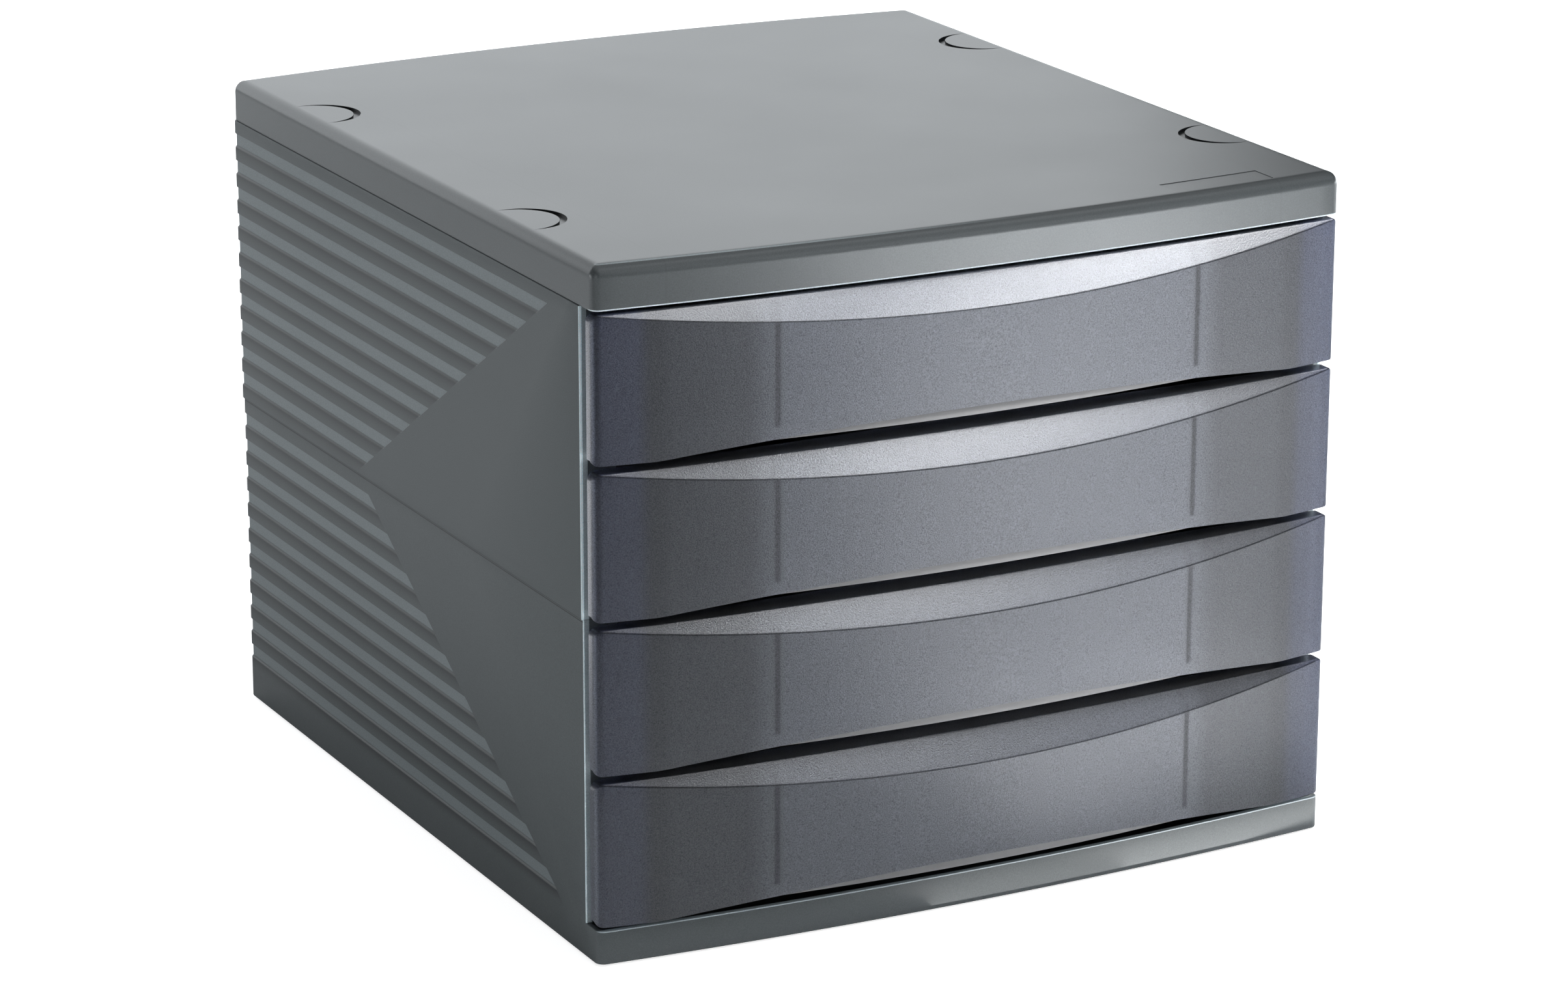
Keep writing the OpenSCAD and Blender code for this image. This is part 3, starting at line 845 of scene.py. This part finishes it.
class Shell:
    """Plan columns and height rows of one shell, in millimetres."""

    def __init__(self, low, high, inset, first_top, tip_at_top):
        c = settings().casing
        self.low, self.high, self.inset = low, high, inset
        self.first_top = first_top
        self.count = c.groove_count
        self.front = c.front_corner / MM
        self.jamb = self.front + JAMB_SETBACK
        self.inner = c.width / MM / 2 - c.wall / MM
        base = high - (UPPER_HIGH[2] - UPPER_LOW[2])
        tip, end = self.front + ARROW_TIP, self.front + ARROW_END
        self.line_z = base
        self.line_y = end if tip_at_top else tip
        self.slope = ((tip - end) if tip_at_top else (end - tip)) / (high - base)

    def line(self, z):
        """Where the grooves end along Y at one height."""
        return self.line_y + (max(z, self.line_z) - self.line_z) * self.slope

    def heights(self):
        rows = {self.low, self.high}
        for k in range(self.count):
            top = self.first_top - k * (GROOVE_HEIGHT + LAND_HEIGHT)
            foot = top - GROOVE_HEIGHT
            rows.update(round(top - step, 4) for step in GROOVE_TOP_STEPS)
            rows.update(round(foot + step, 4) for step in GROOVE_FOOT_STEPS)
            rows.add(round((top + foot) / 2, 4))
        return sorted(rows)

    def columns(self, z, inset, start):
        """Plan path from the left front round the back to the right front."""
        _, far = casing_edges(inset)
        x, rear = far[0]
        steps = [self.line(z) + d for d in GROOVE_END_STEPS]
        near = [start, (start + steps[0]) / 2]
        back = [steps[-1] + (rear - steps[-1]) * k / 3 for k in (1, 2)]
        ys = near + steps + back
        return [(x, y) for y in ys] + far + [(-x, y) for y in reversed(ys)]

    def grid(self, zs, inset, start):
        return [at(self.columns(z, inset, start), z) for z in zs]


def side_marks(piece, inset):
    """Marks how far each point belongs to the grooved sides: the rear corners fade out."""
    c = settings().casing
    mesh = piece.data
    values = np.zeros(len(mesh.vertices), np.float32)
    mesh.attributes["ribbed"].data.foreach_get("value", values)
    co = np.zeros(len(mesh.vertices) * 3, np.float32)
    mesh.vertices.foreach_get("co", co)
    across = np.abs(co.reshape(-1, 3)[:, 0])
    edge = c.width / 2 - inset * MM
    fade = np.clip((across - (edge - c.corner)) / (SIDE_FADE * MM), 0.0, 1.0)
    mesh.attributes["ribbed"].data.foreach_set("value", (values * fade).astype(np.float32))


def finish_shell(piece, shell):
    """Grooves a shell's sides, eases its edges and gives it its plastic."""
    c = settings().casing
    side_marks(piece, shell.inset)
    add_tree(piece, groove_tree(), {
        "Count": float(shell.count), "First Top": shell.first_top * MM,
        "Height": GROOVE_HEIGHT * MM, "Pitch": (GROOVE_HEIGHT + LAND_HEIGHT) * MM,
        "Depth": c.groove_depth, "Upper Ledge": UPPER_LEDGE * MM, "Lower Ledge": LOWER_LEDGE * MM,
        "Line Y": shell.line_y * MM, "Line Z": shell.line_z * MM, "Line Slope": shell.slope})
    ease_edges(piece, c.arris)
    settle(piece, casing_plastic(), SHELL_SHARP)


def jamb_path(shell, side, z):
    x = settings().casing.width / MM / 2 - shell.inset
    inner, tip = shell.inner, shell.inner - JAMB_WIDTH
    near, far = shell.jamb, shell.jamb + JAMB_DEPTH
    path = [(x, near), (inner, near), (tip, near), (tip, far), (inner, far)]
    return [(side * px, py, z) for px, py in path]


def close_jamb(skin, path):
    """Faces one end of a jamb: a triangle over the wall and the rest."""
    skin.face([path[0], path[1], path[4]])
    skin.face(path[1:])


class TRAYSTACK_OT_upper_shell(bpy.types.Operator):
    """Build the upper shell: grooved sides, bowed back and jambs"""

    bl_idname = "traystack.upper_shell"
    bl_label = "Upper Shell"

    def execute(self, context):
        low, high = UPPER_LOW[2], UPPER_HIGH[2]
        shell = Shell(low, high, 0.0, high - LAND_HEIGHT, False)
        zs = shell.heights()
        wall = settings().casing.wall / MM
        skin = Skin()
        outer = shell.grid(zs, 0.0, shell.jamb)
        inner = shell.grid([low, high], wall, shell.jamb + JAMB_DEPTH)
        skin.grid(outer, 1.0)
        skin.grid(inner)
        for k in (0, -1):
            skin.grid([outer[k], inner[k]])
        for side in (-1, 1):
            skin.grid([jamb_path(shell, side, z) for z in zs])
            for z in (low, high):
                close_jamb(skin, jamb_path(shell, side, z))
        piece = skin.piece("upper_casing", "ribbed")
        finish_shell(piece, shell)
        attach(piece, "casing")
        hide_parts("upper_shell")
        return {"FINISHED"}


class TRAYSTACK_OT_lower_shell(bpy.types.Operator):
    """Build the lower shell: the same with the plinth and the floor"""

    bl_idname = "traystack.lower_shell"
    bl_label = "Lower Shell"

    def execute(self, context):
        low, high = LOWER_LOW[2], LOWER_HIGH[2]
        shell = Shell(low, high, LOWER_INSET, high - LOWER_FIRST_LAND, True)
        zs = sorted(set(shell.heights()) | {PLINTH_TOP})
        wall = settings().casing.wall / MM
        inner_start = shell.jamb + JAMB_DEPTH
        skin = Skin()
        outer = shell.grid(zs, LOWER_INSET, shell.jamb)
        inner = shell.grid([FLOOR_TOP, PLINTH_TOP, high], wall, inner_start)
        skin.grid(outer, 1.0)
        skin.grid(inner)
        skin.grid([outer[-1], inner[-1]])
        for side in (-1, 1):
            skin.grid([jamb_path(shell, side, z) for z in zs if z >= PLINTH_TOP])
            close_jamb(skin, jamb_path(shell, side, high))
            skin.face(jamb_path(shell, side, PLINTH_TOP)[1:])
        # plinth: the front runs from jamb to jamb, round both corners
        near_out, near_in = self.front_path(shell, LOWER_INSET), self.front_path(shell, wall)
        skin.grid([at(near_out, z) for z in zs if z <= PLINTH_TOP])
        skin.grid([at(near_in, z) for z in (FLOOR_TOP, PLINTH_TOP)])
        skin.grid([at(near_out, PLINTH_TOP), at(near_in, PLINTH_TOP)])
        for x in (-shell.inner, shell.inner):
            return_edge = [(x, shell.jamb), (x, inner_start)]
            skin.grid([at(return_edge, z) for z in (FLOOR_TOP, PLINTH_TOP)])
        # skirt and floor
        out_loop = near_out + shell.columns(low, LOWER_INSET, shell.jamb)[::-1][1:]
        mid_loop = near_in + shell.columns(low, wall, shell.jamb)[::-1][1:]
        in_loop = near_in + shell.columns(low, wall, inner_start)[::-1]
        skin.grid([at(out_loop, low), at(mid_loop, low)])
        skin.grid([at(mid_loop, low), at(mid_loop, FLOOR_LOW)])
        skin.face(at(mid_loop[:-1], FLOOR_LOW))
        skin.face(at(in_loop, FLOOR_TOP))
        piece = skin.piece("lower_casing", "ribbed")
        finish_shell(piece, shell)
        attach(piece, "casing")
        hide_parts("lower_shell")
        return {"FINISHED"}

    @staticmethod
    def front_path(shell, inset):
        """Front part of the plinth's plan, from the left jamb line to the right one."""
        near, _ = casing_edges(inset)
        x = near[-1][0]
        return [(-x, shell.jamb)] + near + [(x, shell.jamb)]


# ---- drawers


def corner_fall(past, r):
    """How far a rounded corner has fallen at a distance past its start."""
    return r - math.sqrt(max(r * r - past * past, 0.0)) if past > 0 else 0.0


class FrontShape:
    """Plan and elevation of a bowed drawer front, in millimetres above its lower edge."""

    def __init__(self, tall):
        s = settings().fronts
        c = settings().casing
        self.tall = tall
        self.half = c.width / MM / 2 - COVER_INSET
        self.radius = c.corner / MM
        self.face = c.front_corner / MM + FRONT_SETBACK
        self.rear = self.face + RETURN_DEPTH
        self.skin = s.skin / MM
        self.face_bow, self.brow_bow = s.face_bow / MM, s.brow_bow / MM
        self.brow = s.brow_height / MM
        self.slope = (self.face_bow - self.brow_bow) / self.brow
        self.arch, self.rise = s.arch_width / MM, s.arch_rise / MM

    def swell(self, x):
        """1 in the middle, 0 at the ends."""
        return max(1 - (x / self.half) ** 2, 0.0)

    def low(self, x):
        """Height of the lower edge, with the finger arch."""
        if abs(x) < self.arch / 2:
            return bow(x, self.arch, self.rise)
        return corner_fall(abs(x) - self.half + FRONT_FOOT_R, FRONT_FOOT_R)

    def top(self, x, inset=0.0):
        """Height of the upper edge, with its rounded corners."""
        r = FRONT_TOP_R - inset
        return self.tall - inset - corner_fall(min(abs(x) - self.half + FRONT_TOP_R, r), r)

    def recess(self, x, z):
        """How far the brow lies behind the face's surface, eased at the crease."""
        d = (self.face_bow - self.brow_bow) * self.swell(x) - self.slope * (self.tall - z)
        if abs(d) < CREASE_EASE:
            return (d + CREASE_EASE) ** 2 / (4 * CREASE_EASE)
        return max(d, 0.0)

    def plan(self, inset, steps=FRONT_STEPS):
        """Columns from the left return to the right one, as (x, y)."""
        corner = half_corner(2 * self.half, self.face_bow, self.radius,
                             FRONT_CORNER_STEPS, inset)
        right = [(x, self.face + y) for x, y in corner] + [(self.half - inset, self.rear)]
        left = [(-x, y) for x, y in reversed(right)]
        reach = right[0][0]
        middle = []
        for k in range(1, steps):
            x = reach * (2 * k / steps - 1)
            pitch = 2 * self.face_bow * x / self.half ** 2
            outer = self.face - self.face_bow * self.swell(x)
            middle.append((x, outer + inset * math.hypot(1, pitch)))
        return left + middle + right

    def levels(self, x, inset):
        """Heights of the surface rows in one column, closer together about the crease."""
        low, top = self.low(x), self.top(x, inset)
        fold = min(self.tall - self.brow * self.swell(x), self.top(x) - 0.2) - inset * 0.3
        fold = min(fold, top - 0.1)
        k = min(1.0, (top - fold) / 1.2)
        near = [fold + k * d for d in CREASE_STEPS]
        below = [low + (near[0] - low) * s for s in FACE_PARTS]
        return below + near + [near[-1] + (top - near[-1]) * s for s in BROW_PARTS]

    def outer(self):
        """Rows of the outer surface with its rounded top edge and the web behind it."""
        columns = []
        for x, y in self.plan(0.0):
            top = self.top(x)
            lean = math.atan(self.slope) * min(self.recess(x, top) / 0.4, 1.0)
            side = max(abs(x) - self.half + FRONT_TOP_R, 0.0) / FRONT_TOP_R
            back = y + self.recess(x, top)
            length = FRONT_EDGE_R * math.tan((math.pi / 2 - lean) / 2)
            length = min(length * math.sqrt(max(1 - side ** 2, 0.0)), max(self.rear - back, 0.0))
            limit = top - length * math.cos(lean)
            zs = [min(z, limit) for z in self.levels(x, 0.0)]
            column = [(x, y + self.recess(x, z), z) for z in zs]
            _, sy, sz = column[-1]
            for s in (0.25, 0.5, 0.75, 1.0):
                a, b, c = (1 - s) ** 2, 2 * s * (1 - s), s * s
                far = a * sy + b * back + c * (back + length)
                column.append((x, far, a * sz + (b + c) * top))
            column.append((x, (column[-1][1] + self.rear) / 2, top))
            column.append((x, self.rear, top))
            columns.append(column)
        return [list(row) for row in zip(*columns)]

    def inner(self):
        """Rows of the inner surface, with a last row at the rear."""
        columns = []
        for x, y in self.plan(self.skin):
            column = []
            for z in self.levels(x, self.skin):
                if y < self.rear:
                    behind = y + self.recess(x, z + self.skin * 0.3) * 1.02
                    column.append((x, min(behind, self.rear - 0.05), z))
                else:
                    column.append((x, y, z))
            column.append((x, self.rear, column[-1][2]))
            columns.append(column)
        return [list(row) for row in zip(*columns)]


def front_piece(number):
    """One drawer front: a closed skin with returns and a top web, and two ribs behind it."""
    low, high = node_box(f"drawer_{number}_front")
    shape = FrontShape(high[2] - low[2])
    outer, inner = shape.outer(), shape.inner()
    rows = len(inner) - 1
    skin = Skin()
    skin.grid(outer)
    skin.grid(inner)
    skin.grid([outer[0], inner[0]])
    skin.grid([outer[-1], inner[-1]])
    for k in (0, -1):
        skin.grid([[row[k] for row in surface[:rows]] for surface in (outer, inner)])
    place = settings().fronts.rib_place / MM
    for x in (-place, place):
        k = min(range(len(inner[0])), key=lambda k: abs(inner[0][k][0] - x))
        column = [row[k] for row in inner[:-1] if row[k][2] > RIB_LIFT]
        edge = [(y + RIB_OVERLAP, z - RIB_OVERLAP) for _, y, z in column]
        profile = edge + [(shape.rear, edge[-1][1]), (shape.rear, edge[0][1])]
        near, far = ([(x + half, y, z) for y, z in profile] for half in (-RIB_HALF, RIB_HALF))
        skin.face(near)
        skin.face(far)
        skin.grid([near + near[:1], far + far[:1]])
    skin.points = [(x, y, z + low[2]) for x, y, z in skin.points]
    return skin.piece(f"drawer_{number}_face")


def lip_piece(number):
    """Plain strip along the bow behind one finger arch, with a straight lower edge."""
    low, high = node_box(f"drawer_{number}_front")
    shape = FrontShape(high[2] - low[2])
    shape.arch, shape.rise = 1.0, 0.0
    near, far = ([p for p in shape.plan(inset, LIP_STEPS) if abs(p[0]) <= LIP_REACH]
                 for inset in (shape.skin - LIP_OVERLAP, shape.skin + LIP_THICK))
    z0, z1 = low[2] + LIP_LOW, low[2] + LIP_TOP
    section = [(near, z1), (near, z0 + LIP_EDGE_R), (near, z0), (far, z0), (far, z1), (near, z1)]
    skin = Skin()
    skin.grid([at(path, z) for path, z in section])
    for end in (0, -1):
        skin.face([(*path[end], z) for path, z in section[:-1]])
    return skin.piece(f"drawer_{number}_lip")


class TRAYSTACK_OT_fronts(bpy.types.Operator):
    """Build the four translucent drawer fronts with the strips behind their arches"""

    bl_idname = "traystack.fronts"
    bl_label = "Drawer Fronts"

    def execute(self, context):
        smoke = smoke_plastic()
        for number in DRAWERS:
            piece = front_piece(number)
            settle(piece, smoke, FRONT_SHARP)
            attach(piece, f"drawer_{number}")
            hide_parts(f"drawer_{number}_front")
            lip = lip_piece(number)
            ease_edges(lip, LIP_ARRIS * MM)
            settle(lip, tray_plastic(), FRONT_SHARP)
            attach(lip, f"drawer_{number}")
        return {"FINISHED"}


class TRAYSTACK_OT_trays(bpy.types.Operator):
    """Finish the four trays"""

    bl_idname = "traystack.trays"
    bl_label = "Trays"

    def execute(self, context):
        for number in DRAWERS:
            dress(f"drawer_{number}_tray", tray_plastic())
        return {"FINISHED"}


def dress(node, material):
    """Gives a CAD node its material."""
    mesh = frame["nodes"][node].data
    mesh.materials.clear()
    mesh.materials.append(material)


class TRAYSTACK_OT_fittings(bpy.types.Operator):
    """Finish the runners, dowels and feet"""

    bl_idname = "traystack.fittings"
    bl_label = "Fittings"

    def execute(self, context):
        dark = plastic("runner_plastic", DARK_GREY, 0.38)[0]
        rubber = plastic("foot_rubber", RUBBER_BLACK, 0.75, speckle=0.2, bump=0.3)[0]
        for name in ("shell_dowels", "cover_dowels"):
            dress(name, dark)
        for side in ("left", "right"):
            for number in DRAWERS:
                dress(f"runner_{number}_{side}", dark)
            for end in ("front", "rear"):
                dress(f"foot_{end}_{side}", rubber)
        return {"FINISHED"}


# ---- stage


AMBIENT = 0.07
FLOOR_LIFT = 0.8
FLOOR_REACH = 6.0
SENSOR_WIDTH = 36.0
WHITE = (1.0, 1.0, 1.0, 1.0)
FLOOR_GREY = (0.86, 0.86, 0.86, 1.0)
COOL = (0.93, 0.97, 1.0)
PALE = (0.95, 0.965, 1.0)
WARM = (1.0, 0.96, 0.95)
UP = None
# for each group of pieces: name, place, target, width and height, power and colour of its lamps
LAMPS = {
    "casing": (
        ("back", (-0.1, 2.1, 0.85), (0.0, 0.0, 0.24), (3.4, 1.5), 24.0, COOL),
        ("left", (-2.0, 0.7, 0.22), (0.0, 0.0, 0.10), (1.4, 0.4), 6.2, COOL),
        ("side", (-0.8, 0.2, 0.004), UP, (1.1, 1.1), 1.1, COOL),
        ("front", (-1.5, -1.7, 0.40), (0.0, -0.1, 0.10), (0.6, 0.5), 2.6, COOL),
        ("table", (0.47, -0.85, 0.004), UP, (0.42, 0.42), 8.5, COOL),
        ("sill_a", (0.155, -0.225, 0.0025), UP, (0.35, 0.13), 0.25, WARM),
        ("sill_b", (0.185, -0.225, 0.0026), UP, (0.25, 0.13), 0.16, WARM),
        ("top", (0.5, -0.9, 1.3), (0.0, -0.16, 0.24), (1.6, 1.2), 5.0, COOL),
        ("overhead", (0.3, 0.3, 2.0), (0.3, 0.3, 0.0), (2.6, 2.6), 13.0, COOL),
        ("rear", (0.55, 1.4, 0.13), (0.1, 0.0, 0.13), (1.4, 0.22), 8.0, COOL),
        ("right", (1.4, 0.2, 0.13), (0.0, 0.2, 0.13), (2.0, 0.22), 10.0, COOL),
        ("brow", (0.67, -1.43, 0.61), (0.0, -0.16, 0.24), (0.8, 0.6), 2.0, COOL),
    ),
    "drawers": (
        ("key_a", (0.31, -0.62, 0.72), (0.0, -0.165, 0.22), (0.35, 0.25), 0.6, PALE),
        ("key_b", (0.50, -0.60, 0.70), (0.08, -0.165, 0.22), (0.35, 0.25), 1.8, PALE),
        ("key_d", (0.21, -0.29, 0.405), (0.09, -0.165, 0.228), (0.40, 0.06), 1.9, PALE),
        ("key_e", (-0.06, -0.225, 0.33), (-0.10, -0.16, 0.235), (0.12, 0.04), 0.2, PALE),
        ("edge", (-0.45, 0.42, 0.004), UP, (0.6, 0.6), 2.5, PALE),
        ("floor_a", (0.30, -0.74, 0.004), UP, (0.3, 0.3), 2.6, PALE),
        ("floor_b", (0.60, -0.62, 0.004), UP, (0.3, 0.3), 1.6, PALE),
        ("floor_f", (0.41, -0.71, 0.006), UP, (0.16, 0.16), 1.0, PALE),
        ("floor_c", (0.15, -0.40, 0.004), UP, (0.24, 0.24), 0.4, PALE),
        ("floor_d", (0.40, -0.42, 0.004), UP, (0.24, 0.24), 0.25, PALE),
        ("floor_e", (0.16, -0.275, 0.004), UP, (0.22, 0.10), 0.25, PALE),
    ),
}


def area_lamp(lit, name, place, target, size, power, colour):
    """A soft rectangle that lights one group of pieces."""
    data = bpy.data.lights.new(f"{name}_softbox", "AREA")
    data.shape = "RECTANGLE"
    data.size, data.size_y = size
    data.energy = power * settings().stage.lamp
    data.color = colour
    lamp = new_object(data.name, data)
    away = Vector(target or (*place[:2], 1.0)) - Vector(place)
    lamp.location = place
    lamp.rotation_euler = away.to_track_quat("-Z", "Y").to_euler()
    lamp.visible_camera = False
    lamp.light_linking.receiver_collection = lit


def lit_groups():
    """Two groups of pieces, so that casing and drawers are lit apart, as in a studio set."""
    groups = {key: bpy.data.collections.new(f"lit_{key}") for key in LAMPS}
    for item in bpy.context.scene.objects:
        if item.type != "MESH":
            continue
        drawer = item.name.startswith("drawer_")
        if drawer or item.name == "floor":
            groups["drawers"].objects.link(item)
        if not drawer:
            groups["casing"].objects.link(item)
    return groups


class TRAYSTACK_OT_stage(bpy.types.Operator):
    """Set up the pale floor, the lamps and the camera"""

    bl_idname = "traystack.stage"
    bl_label = "Stage"

    def execute(self, context):
        scene = context.scene
        scene.view_settings.view_transform = "Standard"
        self.world(scene)
        self.floor()
        for key, lit in lit_groups().items():
            for lamp in LAMPS[key]:
                area_lamp(lit, *lamp)
        self.camera(scene)
        return {"FINISHED"}

    @staticmethod
    def camera(scene):
        s = settings().stage
        data = bpy.data.cameras.new("camera")
        data.lens = s.lens
        data.sensor_width = SENSOR_WIDTH
        data.sensor_fit = "HORIZONTAL"
        data.clip_start = 0.05
        data.clip_end = 50.0
        camera = new_object("camera", data)
        a, e, r = s.azimuth, s.elevation, s.roll
        ahead = Vector((math.sin(a) * math.cos(e), math.cos(a) * math.cos(e), -math.sin(e)))
        level = Vector((math.cos(a), -math.sin(a), 0.0))
        up = level.cross(ahead)
        right = level * math.cos(r) + up * math.sin(r)
        up = right.cross(ahead)
        turn = Matrix((right, up, -ahead)).transposed()
        camera.matrix_world = Matrix.Translation(Vector(s.eye)) @ turn.to_4x4()
        scene.camera = camera

    @staticmethod
    def world(scene):
        """White to the camera and through the smoke, faint to everything else."""
        world = bpy.data.worlds.new("studio")
        scene.world = world
        t = empty_tree(world)
        path = t.node("ShaderNodeLightPath").outputs
        seen = t.math("MAXIMUM", path["Is Camera Ray"], path["Is Transmission Ray"])
        soft = t.out("ShaderNodeBackground", {"Color": WHITE, "Strength": AMBIENT})
        white = t.out("ShaderNodeBackground", {"Color": WHITE, "Strength": 1.0})
        mix = t.out("ShaderNodeMixShader", {0: seen, 1: soft, 2: white})
        t.node("ShaderNodeOutputWorld", {"Surface": mix})

    @staticmethod
    def floor():
        """Pale floor, lifted to white for the camera so that only the shadow shows."""
        size = FLOOR_REACH
        corners = [(-size, -size, 0.0), (size, -size, 0.0), (size, size, 0.0), (-size, size, 0.0)]
        mesh = bpy.data.meshes.new("floor")
        mesh.from_pydata(corners, [], [(0, 1, 2, 3)])
        floor = new_object("floor", mesh)
        made = bpy.data.materials.new("pale_floor")
        t = empty_tree(made)
        matte = t.out("ShaderNodeBsdfDiffuse", {"Color": FLOOR_GREY})
        seen = t.node("ShaderNodeLightPath").outputs["Is Camera Ray"]
        glow = t.out("ShaderNodeEmission", {"Color": WHITE, "Strength": t.times(seen, FLOOR_LIFT)})
        both = t.out("ShaderNodeAddShader", {0: matte, 1: glow})
        t.node("ShaderNodeOutputMaterial", {"Surface": both})
        mesh.materials.append(made)


# ---- add-on


class TrayStackSettings(bpy.types.PropertyGroup):
    """All settings of the tray stack."""

    casing: PointerProperty(type=CasingSettings, name="Casing", description="Sizes of the casing")
    fronts: PointerProperty(type=FrontSettings, name="Fronts", description="Sizes of the fronts")
    finish: PointerProperty(type=FinishSettings, name="Finish", description="Colours and grain")
    stage: PointerProperty(type=StageSettings, name="Stage", description="Camera and lamps")


BUILDERS = (
    TRAYSTACK_OT_cover,
    TRAYSTACK_OT_upper_shell,
    TRAYSTACK_OT_lower_shell,
    TRAYSTACK_OT_fronts,
    TRAYSTACK_OT_trays,
    TRAYSTACK_OT_fittings,
    TRAYSTACK_OT_stage,
)


class TRAYSTACK_PT_panel(bpy.types.Panel):
    """Lists the builders of the tray stack"""

    bl_idname = "TRAYSTACK_PT_panel"
    bl_label = "Tray Stack"
    bl_space_type = "VIEW_3D"
    bl_region_type = "UI"
    bl_category = "Tray Stack"

    def draw(self, context):
        for group in ("casing", "fronts", "finish", "stage"):
            box = self.layout.box()
            owner = getattr(context.scene.tray_stack, group)
            box.label(text=group.title())
            for key in owner.__annotations__:
                box.prop(owner, key)
        for builder in BUILDERS:
            self.layout.operator(builder.bl_idname)


CLASSES = (CasingSettings, FrontSettings, FinishSettings, StageSettings, TrayStackSettings,
           *BUILDERS, TRAYSTACK_PT_panel)


def register():
    for cls in CLASSES:
        bpy.utils.register_class(cls)
    bpy.types.Scene.tray_stack = PointerProperty(type=TrayStackSettings)


def unregister():
    del bpy.types.Scene.tray_stack
    for cls in reversed(CLASSES):
        bpy.utils.unregister_class(cls)


def main():
    register()
    bpy.ops.traystack.cover()
    bpy.ops.traystack.upper_shell()
    bpy.ops.traystack.lower_shell()
    bpy.ops.traystack.fronts()
    bpy.ops.traystack.trays()
    bpy.ops.traystack.fittings()
    bpy.ops.traystack.stage()


if __name__ == "__main__":
    main()
